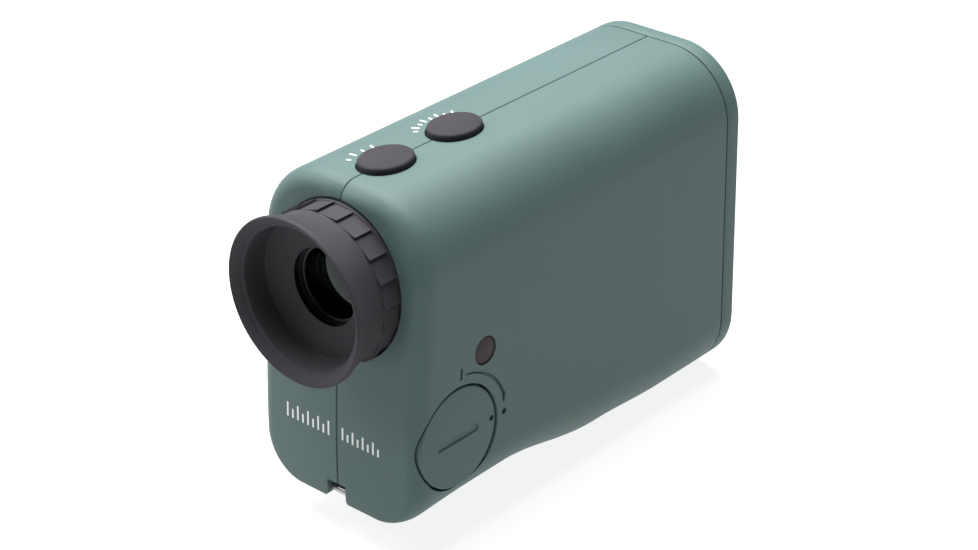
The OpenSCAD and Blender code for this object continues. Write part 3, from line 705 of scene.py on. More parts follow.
@dataclass
class Housing:
    """Two half shells with their openings, bosses and engraved marks."""

    wall: float = 2.0
    seam: float = 0.07
    seam_round: float = 0.16
    station: float = 1.7
    rim_steps: int = 8
    eye_recess_r: float = 15.68
    eye_hole_r: float = 11.1
    eye_boss: Pair = (17.6, 2.2)
    key_r: Pair = (4.74, 5.93)
    key_gap: float = 0.22
    cap_recess: Pair = (10.7, 17.9)
    cap_throat: Pair = (9.2, 14.6)
    cap_boss_r: float = 12.4
    notch: tuple[Pair, Pair] = ((-2.8, 3.6), (2.0, 11.0))
    notch_round: Pair = (1.2, 8.2)
    chamfer: float = 0.14

    def skin(self, inset: float, seam_x: float, overrun: float) -> bpy.types.Object:
        """Solid right half of the body form, with its seam edges chamfered.

        Args:
            inset: Depth under the outer skin.
            seam_x: Where its flat side stands.
            overrun: How far it runs past the joint.

        Returns:
            A closed mesh.
        """
        cut = self.seam_round
        rim_r = FORM.rim_r - inset * 0.75
        rim = [(inset + rim_r * (1 - math.cos(a)), rim_r * (1 - math.sin(a)))
               for a in (math.pi / 2 * k / self.rim_steps for k in range(self.rim_steps + 1))]
        last_curve = FORM.bottom_line[-1][0]
        start = rim[-1][0]
        count = round((last_curve - start) / self.station)
        run = [(start + (last_curve - start) * k / count, 0.0) for k in range(1, count + 1)]
        end = FORM.length + overrun
        rings = [FORM.half_ring(d, inset, r, seam_x + max(cut - d + inset, 0.0), cut)
                 for d, r in [*rim, *run, (end - cut, 0.0)]]
        return sweep([*rings, FORM.half_ring(end, inset + cut, 0.0, seam_x + cut, cut)])

    def rear_face(self, half: bpy.types.Object) -> None:
        """Replaces the single rear face by strips that follow its lean."""
        with editing(half):
            limit = FORM.rear_y * MM
            pick(half, "faces", lambda f: len(f.verts) > 8 and f.calc_center_median().y < limit + MM)
            bpy.ops.mesh.delete(type="ONLY_FACE")
            mesh = bmesh.from_edit_mesh(half.data)
            bpy.ops.mesh.select_all(action="DESELECT")
            for edge in mesh.edges:
                run = edge.verts[0].co - edge.verts[1].co
                near_seam = min(v.co.x for v in edge.verts) < MM
                flat = abs(run.z) < 0.0001 * MM or (near_seam and abs(run.x) > 0.01 * MM)
                edge.select_set(edge.is_boundary and not flat)
            bmesh.update_edit_mesh(half.data)
            bpy.ops.mesh.bridge_edge_loops()
            pick(half, "edges", lambda e: e.is_boundary)
            bpy.ops.mesh.fill_holes(sides=0)
        tidy_mesh(half, 0.0005)

    def oval_cutter(self, y: float) -> bpy.types.Object:
        """Cutter for one key opening, flared at the skin."""
        a, b = (r + self.key_gap for r in self.key_r)
        top = FORM.top_z
        levels = [(top - 2 * self.wall, 0.0), (top - self.chamfer, 0.0), (top + 0.02, self.chamfer),
                  (top + self.wall, self.chamfer)]
        turn = [math.tau * k / 96 for k in range(96)]
        return sweep([[((a + grow) * math.cos(t), y + (b + grow) * math.sin(t), z) for t in turn]
                      for z, grow in levels])

    def round_cutter(self, centre: Point, steps: Sequence[Pair], axis: Axis) -> bpy.types.Object:
        """Stepped round cutter from the inside to the outside, ending on the axis."""
        return turned([(0, steps[0][1]), *steps, (0, steps[-1][1])], centre, axis)

    def notch_cutter(self, low_x: float, high_x: float, deep_y: float, high: float) -> bpy.types.Object:
        """Cutter for the lanyard notch, rounded outwards where it leaves the foot."""
        levels = [(high, 0.0)]
        levels += [(self.notch_round[1] - self.notch_round[0] * math.sin(a),
                    self.notch_round[0] * (1 - math.cos(a)))
                   for a in (math.pi / 2 * k / 6 for k in range(7))]
        levels.append((levels[-1][0] - 3, levels[-1][1]))
        return sweep([[(low_x - g, deep_y - 9, z), (high_x + g, deep_y - 9, z), (high_x + g, deep_y, z),
                       (low_x - g, deep_y, z)] for z, g in levels])

    def eye_cutter(self) -> bpy.types.Object:
        """Cutter for the eyecup's recess and the eyepiece hole."""
        z = middle("eyecup").z
        outer = FORM.rear_y - 2 * FORM.rear_lean
        steps = [(self.eye_hole_r, FORM.rear_y + 4), (self.eye_hole_r, FORM.rear_y),
                 (self.eye_recess_r, FORM.rear_y), (self.eye_recess_r, outer)]
        return self.round_cutter((0, 0, z), steps, Axis.Y)

    def marks(self, centre: Vector) -> list[bpy.types.Object]:
        """Cutters of the engraved dot, tick and turning arrow round the battery cap.

        Args:
            centre: Centre of the cap.

        Returns:
            Closed cutters that cross the right face.
        """
        deep, out = FORM.half_w - 0.6, FORM.half_w + 0.2

        def bar(path: Sequence[Pair], widths: Sequence[float]) -> bpy.types.Object:
            """Engraving cutter along a path of Y and Z offsets, flared towards the skin."""
            rings = []
            for k, (y, z) in enumerate(path):
                ahead, behind = path[min(k + 1, len(path) - 1)], path[max(k - 1, 0)]
                run = Vector((ahead[0] - behind[0], ahead[1] - behind[1])).normalized()
                half = widths[k] / 2
                rings.append([(x, centre.y + y - run.y * side, centre.z + z + run.x * side)
                              for x, side in ((deep, -half * 0.75), (out, -half), (out, half),
                                              (deep, half * 0.75))])
            return sweep(rings)

        turn = [math.radians(80 - 64 * k / 28) for k in range(29)]
        shaft = [((12.75 + k / 80) * math.cos(a), (12.75 + k / 80) * math.sin(a))
                 for k, a in enumerate(turn)]
        widths = [0.3 + 0.42 * ease(k / 18) for k in range(29)]
        head_turn = [math.radians(a) for a in (18.5, 9.5)]
        head = [(r * math.cos(a), r * math.sin(a)) for r, a in zip((13.25, 12.7), head_turn)]
        tick_turn = math.radians(85.5)
        tick = [(r * math.cos(tick_turn), r * math.sin(tick_turn)) for r in (12.0, 13.2, 14.4)]
        dot = turned([(0, deep), (0.55, deep), (0.68, out), (0, out)],
                     (0, centre.y + 12.6, centre.z), Axis.X, 24)
        return [bar(shaft, widths), bar(head, (1.0, 0.45)), bar(tick, (0.6, 0.6, 0.6)), dot]

    def cavity(self, side: Side) -> bpy.types.Object:
        """Space inside one shell, with its bosses left standing.

        Args:
            side: Which shell.

        Returns:
            A closed cutter, for the right half before mirroring.
        """
        room = self.skin(self.wall, -1.0, 1.0)
        self.rear_face(room)
        eye = middle("eyecup")
        foot = box_mm("right_shell")[0].y
        plug = middle("side_plug")
        (x0, deep), (x1, high) = self.notch
        low_x, high_x = (x0, x1) if side is Side.RIGHT else (-x1, -x0)
        eye_long = FORM.rear_y - foot + 1 + self.eye_boss[1]
        solid = [rod((0, foot - 1, eye.z), Axis.Y, self.eye_boss[0], eye_long),
                 block((low_x - 1.6, foot - 1, 0), (high_x + 1.6, foot + deep + 1.6, high + 1.6)),
                 rod((-2, plug.y, plug.z), Axis.X, 3.0, FORM.half_w)]
        solid += [rod((14, FORM.joint_y - 9, z), Axis.Y, 2.4, 9) for z in (FORM.top_z - 6.5, 6.5)]
        if side is Side.RIGHT:
            cap = middle("battery_cap")
            solid.append(rod((self.cap_throat[1], cap.y, cap.z), Axis.X, self.cap_boss_r, 8))
            solid.append(rod((15.2, plug.y, plug.z), Axis.X, 4.0, 8))
        else:
            solid += [rod((17.3, FORM.rear_y + d, z), Axis.X, 2.0, 6) for d in (26, 44) for z in (16, 33)]
        carve(room, *solid)
        return room

    def cutters(self, side: Side) -> list[bpy.types.Object]:
        """Cutters for the openings of one shell, for the right half before mirroring."""
        foot = box_mm("right_shell")[0].y
        pin = middle("lanyard_pin")
        (x0, deep), (x1, high) = self.notch
        low_x, high_x = (x0, x1) if side is Side.RIGHT else (-x1, -x0)
        made = [self.eye_cutter(), *[self.oval_cutter(middle(n).y) for n in ("mode_button", "power_button")],
                self.notch_cutter(low_x, high_x, foot + deep, high),
                rod((low_x - 1.6, pin.y, pin.z), Axis.X, 0.76, high_x - low_x + 3.2, 32)]
        if side is Side.RIGHT:
            cap, plug = middle("battery_cap"), middle("side_plug")
            face = FORM.half_w
            made.append(self.round_cutter((0, cap.y, cap.z), [
                (self.cap_throat[0], self.cap_throat[1] - 1), (self.cap_throat[0], self.cap_recess[1]),
                (self.cap_recess[0], self.cap_recess[1]), (self.cap_recess[0], face - self.chamfer),
                (self.cap_recess[0] + self.chamfer, face + 0.01),
                (self.cap_recess[0] + self.chamfer, face + 2)], Axis.X))
            made.append(self.round_cutter((0, plug.y, plug.z), [
                (1.1, -2), (1.1, 16.2), (2.1, 16.2), (2.1, 18.95), (2.91, 18.95), (2.91, face + 2)], Axis.X))
            made += self.marks(cap)
        return made

    def shell(self, side: Side) -> bpy.types.Object:
        """One finished half shell.

        Args:
            side: Which half.

        Returns:
            The shell, closed and facing outwards.
        """
        half = self.skin(0.0, self.seam, 0.0)
        self.rear_face(half)
        carve(half, self.cavity(side), *self.cutters(side))
        tidy_mesh(half, 0.001)
        if side is Side.LEFT:
            with editing(half):
                bpy.ops.mesh.select_all(action="SELECT")
                bpy.ops.transform.resize(value=(-1.0, 1.0, 1.0), center_override=(0.0, 0.0, 0.0))
                bpy.ops.mesh.normals_make_consistent(inside=False)
        return half

    def build(self) -> None:
        """Builds and dresses both shells."""
        for side in Side:
            node = f"{side.name.lower()}_shell"
            hand_over(self.shell(side), f"{node}_moulding", "housing", SHELL_PAINT, [node])


# ------------------------------------------------------------------ front end


@dataclass
class FrontEnd:
    """Bezel, lens plate and the two front lenses."""

    joint_gap: float = 0.26
    lip: float = 2.4
    lip_round: float = 0.5
    edge_round: float = 0.7
    plate_set: float = 1.2
    plate_t: float = 1.6
    spigot: tuple[float, float, float] = (2.3, 4.0, 4.0)
    window_r: float = 12.5

    def bezel(self) -> bpy.types.Object:
        """Frame round the front, swept as one closed section."""
        front = box_mm("front_bezel")[1].y
        back = FORM.joint_y + self.joint_gap
        out, inner, long = self.spigot
        seat = front - self.plate_set - self.plate_t
        section = [(back, 0.14), (back + 0.04, 0.04), (back + 0.14, 0.0),
                   (front - 3 * self.edge_round, 0.0)]
        section += [(front - self.edge_round * (1 - math.sin(a)), self.edge_round * (1 - math.cos(a)))
                    for a in (math.pi / 2 * k / 6 for k in range(7))]
        section += [(front - self.lip_round * (1 - math.cos(a)), self.lip - self.lip_round * (1 - math.sin(a)))
                    for a in (math.pi / 2 * k / 5 for k in range(6))]
        section += [(seat, self.lip), (seat, inner), (FORM.joint_y - long, inner),
                    (FORM.joint_y - long, out), (back, out)]
        frame_piece = sweep([FORM.full_ring(y, inset) for y, inset in section], closed=True)
        posts = [rod((side * 14, FORM.joint_y - long - 1, z), Axis.Y, 2.5, long + 1 + self.joint_gap)
                 for side in (-1, 1) for z in (FORM.top_z - 6.5, 6.5)]
        carve(frame_piece, *posts)
        return frame_piece

    def plate(self) -> bpy.types.Object:
        """Black plate with two chamfered windows and a raised rim round each."""
        front = box_mm("front_bezel")[1].y - self.plate_set
        edge = self.lip + 0.1
        section = [(front - self.plate_t, edge), (front - 0.15, edge), (front, edge + 0.15)]
        plate = sweep([FORM.full_ring(y, inset) for y, inset in section])
        for node in ("objective_lens", "receiver_lens"):
            centre = (0, front, middle(node).z)
            rim = turned([(self.window_r - 1, -0.5), (self.window_r + 1.5, -0.5), (self.window_r + 1.5, 0.25),
                          (self.window_r + 1.3, 0.4), (self.window_r - 1, 0.4)], centre, Axis.Y)
            carve(plate, rim, how="UNION")
            hole = turned([(0, -2), (self.window_r, -2), (self.window_r, -0.1), (self.window_r + 0.7, 0.6),
                           (0, 0.6)], centre, Axis.Y)
            carve(plate, hole)
        return plate

    def lens(self, node: str) -> bpy.types.Object:
        """Front lens with two curved faces and a ground edge."""
        low, high = box_mm(node)
        r, thick = high.x, high.y - low.y
        rear, nose = 1.2, 1.8
        back = [(r * k / 16, rear * (k / 16) ** 2) for k in range(17)]
        face = [(r * k / 16, thick - nose * (k / 16) ** 2) for k in range(16, -1, -1)]
        return turned([*back, *face], (0, low.y, middle(node).z), Axis.Y)

    def ring(self, node: str) -> bpy.types.Object:
        """Retaining ring with fine anti-glare steps and two spanner slots."""
        low, high = box_mm(node)
        out, long = high.x, high.y - low.y
        steps = 4
        bore = [(self.window_r - 0.4 + 0.4 * (k // 2 + k % 2) / steps, long * (k // 2) / steps)
                for k in range(2 * steps + 1)]
        ring = turned([*bore, (self.window_r, long), (out - 0.15, long), (out, long - 0.15), (out, 0)],
                      (0, low.y, middle(node).z), Axis.Y)
        z = middle(node).z
        carve(ring, *[block((side * (out - 0.6) - 0.8, high.y - 0.6, z - 0.5),
                            (side * (out - 0.6) + 0.8, high.y + 1, z + 0.5)) for side in (-1, 1)])
        return ring

    def build(self) -> None:
        """Builds and dresses the front end."""
        hand_over(self.bezel(), "front_bezel_frame", "housing", SHELL_PAINT, ["front_bezel"])
        hand_over(self.plate(), "lens_plate_black", "housing", PLATE_BLACK, ["lens_plate"])
        for name in ("objective", "receiver"):
            hand_over(self.lens(f"{name}_lens"), f"{name}_lens_glass", "housing", FRONT_GLASS,
                      [f"{name}_lens"])
            hand_over(self.ring(f"{name}_retaining_ring"), f"{name}_ring", "housing", OPTIC_BLACK,
                      [f"{name}_retaining_ring"])


# ------------------------------------------------------------------ eyepiece


@dataclass
class Eyepiece:
    """Rubber eyecup with its grip teeth, and the lens cell behind it."""

    teeth: int = 20
    faces_per_tooth: int = 8
    band_r: float = 15.0
    tooth_rise: float = 0.5
    band: Pair = (-5.5, -1.2)
    clear_r: float = 7.1

    def profile(self) -> list[Pair]:
        """Outline of the eyecup from its eye opening round the rim to its foot."""
        opening = [(7.7, -5.35), (7.7, -5.42), (7.78, -5.52)]
        bowl = through([(8.1, -5.55), (10.6, -6.02), (13.2, -6.55), (13.75, -6.75), (13.9, -7.1),
                        (14.0, -9.2), (14.1, -11.4)], 3)
        step = [(14.22, -11.8), (14.7, -12.1), (14.8, -12.2)]
        rim = through([(14.95, -12.5), (15.4, -12.95), (15.9, -13.35), (16.15, -13.55), (16.38, -13.56),
                       (16.55, -13.38), (16.6, -13.05), (16.5, -12.4), (15.95, -11.0), (15.3, -8.5),
                       (15.03, -6.6)], 4)
        foot = [(self.band_r, -5.75), (self.band_r, self.band[0]), (self.band_r, self.band[1]),
                (15.3, -0.95), (15.3, -0.45), (15.15, -0.3), (13.0, -0.3), (13.0, -5.35)]
        return [*opening, *bowl, *step, *rim, *foot]

    def eyecup(self) -> bpy.types.Object:
        """Turned cup whose band is drawn out into saw-shaped grip teeth."""
        axis = middle("eyecup")
        cup = turned(self.profile(), (0, FORM.rear_y, axis.z), Axis.Y, self.teeth * self.faces_per_tooth)
        tooth = math.tau / self.teeth
        band_y = FORM.rear_y + sum(self.band) / 2

        def turn_of(place: Vector) -> float:
            """Share of the way through its tooth, clockwise from behind."""
            return (math.atan2(place.x / MM, place.z / MM - axis.z) % tooth) / tooth

        with editing(cup):
            pick(cup, "faces", lambda f: abs(f.calc_center_median().y / MM - band_y) < 0.5
                 and Vector((f.normal.x, f.normal.z)).length > 0.9
                 and math.hypot(f.calc_center_median().x / MM, f.calc_center_median().z / MM - axis.z) > 14.5
                 and turn_of(f.calc_center_median()) < 1 - 1 / self.faces_per_tooth)
            bpy.ops.mesh.extrude_region_move(TRANSFORM_OT_translate={"value": (0, 0, 0)})
            mesh = bmesh.from_edit_mesh(cup.data)
            for vertex in [v for v in mesh.verts if v.select]:
                share = turn_of(vertex.co) * self.faces_per_tooth / (self.faces_per_tooth - 1)
                share = 0.0 if share > 1.05 else min(share, 1.0)
                x, z = vertex.co.x / MM, vertex.co.z / MM - axis.z
                grow = (self.band_r + 0.04 + self.tooth_rise * share ** 2.6) / math.hypot(x, z)
                vertex.co.x, vertex.co.z = x * grow * MM, (axis.z + z * grow) * MM
            bmesh.update_edit_mesh(cup.data)
        return cup

    def eye_lens(self, node: str, sags: Pair) -> bpy.types.Object:
        """One lens of the eyepiece."""
        low, high = box_mm(node)
        r, thick = high.x, high.y - low.y
        back = [(r * k / 14, sags[0] * (k / 14) ** 2) for k in range(15)]
        face = [(r * k / 14, thick - sags[1] * (k / 14) ** 2) for k in range(14, -1, -1)]
        return turned([*back, *face], (0, low.y, middle(node).z), Axis.Y, 72)

    def retaining_ring(self) -> bpy.types.Object:
        """Ring in front of the eye lens, stepped against glare."""
        low, high = box_mm("eyepiece_retaining_ring")
        out, long = high.x, high.y - low.y
        section = [(self.clear_r, long), (self.clear_r, 0.75), (self.clear_r + 0.12, 0.68),
                   (self.clear_r + 0.35, 0.68), (self.clear_r + 0.42, 0.3), (self.clear_r + 0.75, 0.3),
                   (self.clear_r + 0.82, 0.02), (self.clear_r + 0.9, 0.0), (out - 0.08, 0.0), (out, 0.08),
                   (out, long)]
        return turned(section, (0, low.y, middle("eyecup").z), Axis.Y, 72)

    def tube(self) -> bpy.types.Object:
        """Fixed tube through the shells, with its flange and O-ring groove."""
        low, high = box_mm("eyepiece_tube")
        section = [(9.55, 0.15), (9.7, 0.0), (10.85, 0.0), (11.0, 0.15), (11.0, 2.2), (10.5, 2.2),
                   (10.5, 3.4), (11.0, 3.4), (11.0, 6.9), (13.0, 6.9), (13.0, 8.3), (11.0, 8.3),
                   (11.0, high.y - low.y),
                   (self.clear_r, high.y - low.y), (self.clear_r, 21.0), (9.55, 21.0)]
        return turned(section, (0, low.y, middle("eyecup").z), Axis.Y, 72)

    def build(self) -> None:
        """Builds and dresses the eyepiece."""
        hand_over(self.eyecup(), "eyecup_rubber_cup", "diopter", CUP_RUBBER, ["eyecup"], 38)
        hand_over(self.eye_lens("eye_lens", (1.5, 1.2)), "eye_lens_glass", "focus_cell", EYE_GLASS_PAINTED_SHADE,
                  ["eye_lens"])
        hand_over(self.eye_lens("field_lens", (1.2, 0.9)), "field_lens_glass", "focus_cell", EYE_GLASS_PAINTED_SHADE,
                  ["field_lens"])
        hand_over(self.retaining_ring(), "eyepiece_ring", "focus_cell", OPTIC_BLACK,
                  ["eyepiece_retaining_ring"])
        hand_over(self.tube(), "eyepiece_tube_turned", "housing", OPTIC_BLACK,
                  ["eyepiece_tube"])


# ------------------------------------------------------------------ keys


@dataclass
class Keys:
    """Two domed rubber keys on the top."""

    radii: Pair = (4.74, 5.93)
    rise: float = 0.45
    edge_drop: float = 0.42
    edge_round: float = 0.55
    flange: Pair = (1.0, 0.8)
    stem_r: float = 1.6
    sides: int = 96

    def key(self, node: str) -> bpy.types.Object:
        """One key: stem, flange, upright wall, rounded edge and dome."""
        low, high = box_mm(node)
        y, top = middle(node).y, high.z + self.rise
        under = FORM.top_z - 2.1
        levels = [(low.z, None, self.stem_r), (under - self.flange[1], None, self.stem_r),
                  (under - self.flange[1], self.flange[0], 0), (under, self.flange[0], 0), (under, 0.0, 0)]
        edge_z = top - self.edge_drop - self.edge_round
        levels += [(edge_z + self.edge_round * math.sin(a), -self.edge_round * (1 - math.cos(a)), 0)
                   for a in (math.pi / 2 * k / 6 for k in range(6))]
        a, b = self.radii
        flat = 1 - self.edge_round / a
        levels += [(top - self.edge_drop * (f / flat) ** 2.2, a * (f - 1), 0)
                   for f in (flat * (1 - k / 9) for k in range(9))]
        rings = []
        for z, grow, round_r in levels:
            turn = [math.tau * k / self.sides for k in range(self.sides)]
            if grow is None:
                rings.append([(round_r * math.cos(t), y + round_r * math.sin(t), z) for t in turn])
            else:
                long = b + grow if grow > -self.edge_round else b * (1 + grow / a)
                rings.append([((a + grow) * math.cos(t), y + long * math.sin(t), z) for t in turn])
        return sweep(rings)

    def build(self) -> None:
        """Builds and dresses both keys."""
        for name in ("mode", "power"):
            hand_over(self.key(f"{name}_button"), f"{name}_key_cap", f"{name}_key", KEY_RUBBER,
                      [f"{name}_button"])


# ------------------------------------------------------------------ battery


@dataclass
class BatteryBay:
    """Battery cap with its coin slot, and the cell behind it."""

    slot_l: float = 11.2
    slot_w: float = 1.7
    slot_deep: float = 0.34
    dot_r: float = 0.55
    dot_at: float = 9.2

    def cap(self) -> bpy.types.Object:
        """Round cap: thin rim, flat face, plug with an O-ring groove, hollow behind."""
        low, high = box_mm("battery_cap")
        centre = middle("battery_cap")
        r, face = (high.z - low.z) / 2, high.x
        plug_r, hollow = 9.05, 7.9
        floor = 18.05
        section = [(0, floor), (hollow, floor), (hollow, low.x + 0.2), (hollow + 0.2, low.x),
                   (plug_r - 0.2, low.x), (plug_r, low.x + 0.2), (plug_r, 16.2), (8.3, 16.2), (8.3, 17.2),
                   (plug_r, 17.2),
                   (plug_r, floor), (r, floor)]
        section += [(r - 0.3 + 0.3 * math.cos(a), face - 0.3 + 0.3 * math.sin(a))
                    for a in (math.pi / 2 * k / 5 for k in range(6))]
        section.append((0, face))
        cap = turned(section, (0, centre.y, centre.z), Axis.X, 128)
        rings = []
        for x, grow in ((face - self.slot_deep, -0.14), (face - 0.12, 0.0), (face + 0.01, 0.16),
                        (face + 1, 0.16)):
            y, z = self.slot_l / 2 + grow, self.slot_w / 2 + grow
            rings.append([(x, centre.y + a * y, centre.z + b * z)
                          for a, b in ((-1, -0.5), (-0.93, -1), (0.93, -1), (1, -0.5),
                                       (1, 0.5), (0.93, 1), (-0.93, 1), (-1, 0.5))])
        carve(cap, sweep(rings))
        carve(cap, turned([(0, face - 0.5), (self.dot_r, face - 0.5), (self.dot_r * 1.2, face + 0.3),
                           (0, face + 0.3)], (0, centre.y + self.dot_at, centre.z), Axis.X, 24))
        return cap

    def cell(self) -> bpy.types.Object:
        """Cell with a crimped sleeve and a raised terminal."""
        low, high = box_mm("battery")
        centre = middle("battery")
        r = (high.z - low.z) / 2
        end = high.x - low.x
        section = [(0, 0), (r - 1.4, 0), (r - 1.4, 0.25), (r - 0.5, 0.25), (r - 0.15, 0.4), (r, 0.8),
                   (r, end - 3.4), (r - 0.35, end - 3.0), (r - 0.35, end - 2.5), (r, end - 2.1),
                   (r, end - 1.5), (r - 0.3, end - 1.15), (3.1, end - 1.15), (3.0, end - 1.0),
                   (3.0, end - 0.2), (2.8, end), (0, end)]
        return turned(section, (low.x, centre.y, centre.z), Axis.X)

    def build(self) -> None:
        """Builds and dresses the battery bay."""
        hand_over(self.cap(), "battery_cap_turned", "cap", SHELL_PAINT, ["battery_cap"])
        hand_over(self.cell(), "battery_cell", "cell", CELL_SLEEVE, ["battery"])


# ------------------------------------------------------------------ small fittings


@dataclass
class Fittings:
    """Side plug and lanyard pin."""

    plug_edge: float = 0.25

    def plug(self) -> bpy.types.Object:
        """Soft plug over the shell screw, slightly domed."""
        low, high = box_mm("side_plug")
        centre, r, face = middle("side_plug"), (high.z - low.z) / 2, high.x
        dome = [(r - self.plug_edge * (1 - k / 8) - (r - self.plug_edge) * (k / 8),
                 face - 0.25 * (1 - k / 8) ** 2) for k in range(9)]
        section = [(0, low.x), (r, low.x), (r, face - 0.45), *dome, (0, face)]
        return turned(section, (0, centre.y, centre.z), Axis.X, 64)

    def pin(self) -> bpy.types.Object:
        """Steel pin across the lanyard notch, with rounded ends."""
        low, high = box_mm("lanyard_pin")
        centre, r = middle("lanyard_pin"), (high.z - low.z) / 2
        long = high.x - low.x
        section = [(0, 0), (r - 0.2, 0), (r, 0.2), (r, long - 0.2), (r - 0.2, long), (0, long)]
        return turned(section, (low.x, centre.y, centre.z), Axis.X, 48)

    def build(self) -> None:
        """Builds and dresses the fittings."""
        hand_over(self.plug(), "side_plug_soft", "housing", PLUG_RUBBER, ["side_plug"])
        hand_over(self.pin(), "lanyard_pin_steel", "housing", STEEL, ["lanyard_pin"])


@dataclass
class PrintedMarks:
    """White printed marks: plain strokes beside the keys and a plain scale on the rear face."""

    proud: float = 0.03
    sunk: float = 0.1
    stroke: float = 0.42
    key_half: Pair = (4.74, 5.93)
    key_reach: tuple[float, float, float] = (1.5, 2.4, 3.0)

    def tile(self, corners: Sequence[Point], lift: Point) -> bpy.types.Object:
        """Thin printed stroke standing on four corners."""
        below = [tuple(c - self.sunk * n for c, n in zip(p, lift)) for p in corners]
        above = [tuple(c + self.proud * n for c, n in zip(p, lift)) for p in corners]
        return sweep([below, above])

    def key_arc(self, node: str, start: float, end: float, count: int) -> list[bpy.types.Object]:
        """Strokes on an arc beside one key.

        Args:
            node: The key.
            start: First angle in degrees, from +Y towards -X.
            end: Last angle.
            count: Number of strokes.

        Returns:
            The strokes.
        """
        y, z = middle(node).y, FORM.top_z
        made = []
        for k in range(count):
            a = math.radians(start + (end - start) * k / (count - 1))
            out = Vector((-math.sin(a) * self.key_half[0], math.cos(a) * self.key_half[1]))
            run = Vector((-math.sin(a), math.cos(a)))
            side = Vector((run.y, -run.x))
            near, short, long = self.key_reach
            far = long if k % 2 == 0 else short
            half = self.stroke / 2
            corners = [(out.x + run.x * r + side.x * s, y + out.y + run.y * r + side.y * s, z)
                       for r, s in ((near, -half), (near, half), (far, half), (far, -half))]
            made.append(self.tile(corners, (0, 0, 1)))
        return made

    def scale(self) -> list[bpy.types.Object]:
        """Plain graduated scale across the rear face, in two groups beside the seam."""
        made = []
        groups = [(-13.0, -2.1, 9, 20.9, 23.9), (1.6, 10.8, 8, 21.2, 23.8)]
        for start, end, count, low, high in groups:
            for k in range(count):
                x = start + (end - start) * k / (count - 1)
                top = high if k % 2 == 0 else low + (high - low) * 0.62
                half = self.stroke / 2
                corners = [(x + s, FORM.rear_face_y(z), z)
                           for s, z in ((-half, low), (half, low), (half, top), (-half, top))]
                made.append(self.tile(corners, (0, -1, 0)))
        return made

    def build(self) -> None:
        """Builds and dresses the printed marks."""
        keys = self.key_arc("mode_button", 68, 118, 4) + self.key_arc("power_button", 50, 134, 8)
        hand_over(joined(keys), "key_marks", "housing", INK)
        hand_over(joined(self.scale()), "rear_scale", "housing", INK)


# ------------------------------------------------------------------ what stays CAD


@dataclass
class InnerParts:
    """Gives the CAD nodes that stay their finishes."""

    def build(self) -> None:
        """Dresses every node that is still shown."""
        finishes = {
            "steel": SCREW_STEEL, "optic_black": OPTIC_BLACK, "lens_glass": INNER_GLASS, "brass": BRASS,
            "board": SOLDER_MASK, "cell_label": CELL_SLEEVE, "alloy": ALLOY, "key_rubber": KEY_RUBBER,
            "cup_rubber": CUP_RUBBER, "shell_paint": SHELL_PAINT,
        }
        slots = {part["node"]: part["material_slot"] for part in frame["record"]["subparts"]}
        for name, node in frame["nodes"].items():
            if node.hide_render:
                continue
            finish = CHIP_BLACK if name == "board_chips" else finishes[slots[name]]
            node.data.materials.clear()
            node.data.materials.append(finish.material())
            LOG.info("%s: kept, %s", name, finish.name)


# ------------------------------------------------------------------ studio


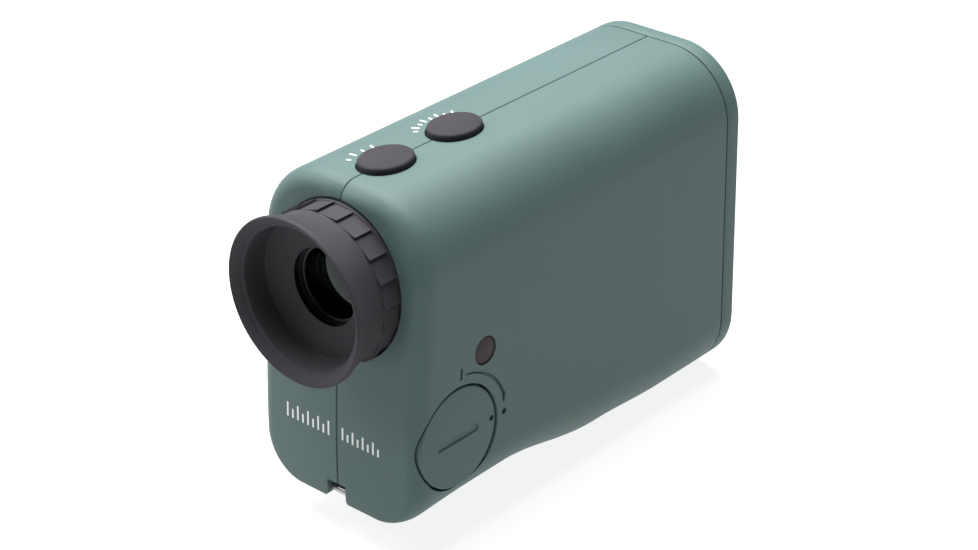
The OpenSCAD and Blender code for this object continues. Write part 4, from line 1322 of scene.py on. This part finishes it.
@dataclass
class Studio:
    """Pale floor, soft lights and the camera."""

    camera_at: Point = (283.9, -314.9, 265.4)
    azimuth: float = 42.06
    elevation: float = 28.24
    roll: float = -1.05
    lens: float = 90.4
    floor_half: float = 4000.0

    def floor(self) -> None:
        """Pale floor with a faint unevenness."""
        select_only()
        bpy.ops.mesh.primitive_plane_add(size=2 * self.floor_half * MM, location=(0, 0, -0.02 * MM))
        plane = bpy.context.object
        plane.name = "floor"
        with editing(plane):
            bpy.ops.mesh.select_all(action="SELECT")
            bpy.ops.mesh.subdivide(number_cuts=6)
        white = Finish("floor_white", (0.20, 0.20, 0.20), (0.22, 0.22, 0.22), rough=(0.7, 0.8), drift=2.0,
                       grain=900.0, bump=0.002)
        cover = white.material()
        shader = next(n for n in cover.node_tree.nodes if n.type == "BSDF_PRINCIPLED")
        shader.inputs["Emission Color"].default_value = (1.0, 1.0, 1.0, 1.0)
        shader.inputs["Emission Strength"].default_value = 0.86
        plane.data.materials.append(cover)

    def softbox(self, name: str, place: Point, target: Point, size: Pair, power: float) -> None:
        """Rectangular light that faces a point.

        Args:
            name: Name of the light.
            place: Where it stands.
            target: What it faces.
            size: Its width and height.
            power: Its power in watts.
        """
        data = bpy.data.lights.new(name, "AREA")
        data.shape = "RECTANGLE"
        data.size, data.size_y = (s * MM for s in size)
        data.energy = power
        lamp = bpy.data.objects.new(name, data)
        bpy.context.scene.collection.objects.link(lamp)
        lamp.location = Vector(place) * MM
        lamp.rotation_euler = (Vector(target) - Vector(place)).to_track_quat("-Z", "Y").to_euler()

    def surround(self) -> None:
        """Even white surround."""
        world = bpy.data.worlds.new("surround")
        world.use_nodes = True
        world.node_tree.nodes["Background"].inputs["Color"].default_value = (1.0, 1.0, 1.0, 1.0)
        world.node_tree.nodes["Background"].inputs["Strength"].default_value = 0.08
        bpy.context.scene.world = world
        bpy.context.scene.view_settings.view_transform = "Standard"

    def camera(self) -> None:
        """Camera at the viewing angle of the reference view."""
        az, el, roll = (math.radians(a) for a in (self.azimuth, self.elevation, self.roll))
        back = Vector((math.sin(az) * math.cos(el), -math.cos(az) * math.cos(el), math.sin(el)))
        right = (-back).cross(Vector((0, 0, 1))).normalized()
        up = right.cross(-back)
        x = math.cos(roll) * right + math.sin(roll) * up
        y = -math.sin(roll) * right + math.cos(roll) * up
        data = bpy.data.cameras.new("camera")
        data.lens, data.sensor_width = self.lens, 36.0
        eye = bpy.data.objects.new("camera", data)
        bpy.context.scene.collection.objects.link(eye)
        turn = Matrix((x, y, back)).transposed().to_4x4()
        eye.matrix_world = Matrix.Translation(Vector(self.camera_at) * MM) @ turn
        bpy.context.scene.camera = eye

    def build(self) -> None:
        """Sets the stage."""
        self.floor()
        self.surround()
        centre = (0, 5, 36)
        self.softbox("overhead", (-150, 60, 540), centre, (600, 520), 9.6)
        self.softbox("rear_fill", (-450, -280, 330), centre, (180, 180), 1.1)
        self.camera()


def main() -> None:
    """Builds every sub-assembly in order."""
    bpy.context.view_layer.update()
    for assembly in (Studio(), Housing(), FrontEnd(), Eyepiece(), Keys(), BatteryBay(), Fittings(),
                     PrintedMarks(), InnerParts()):
        assembly.build()
        LOG.info("built: %s", type(assembly).__name__)


if __name__ == "__main__":
    main()
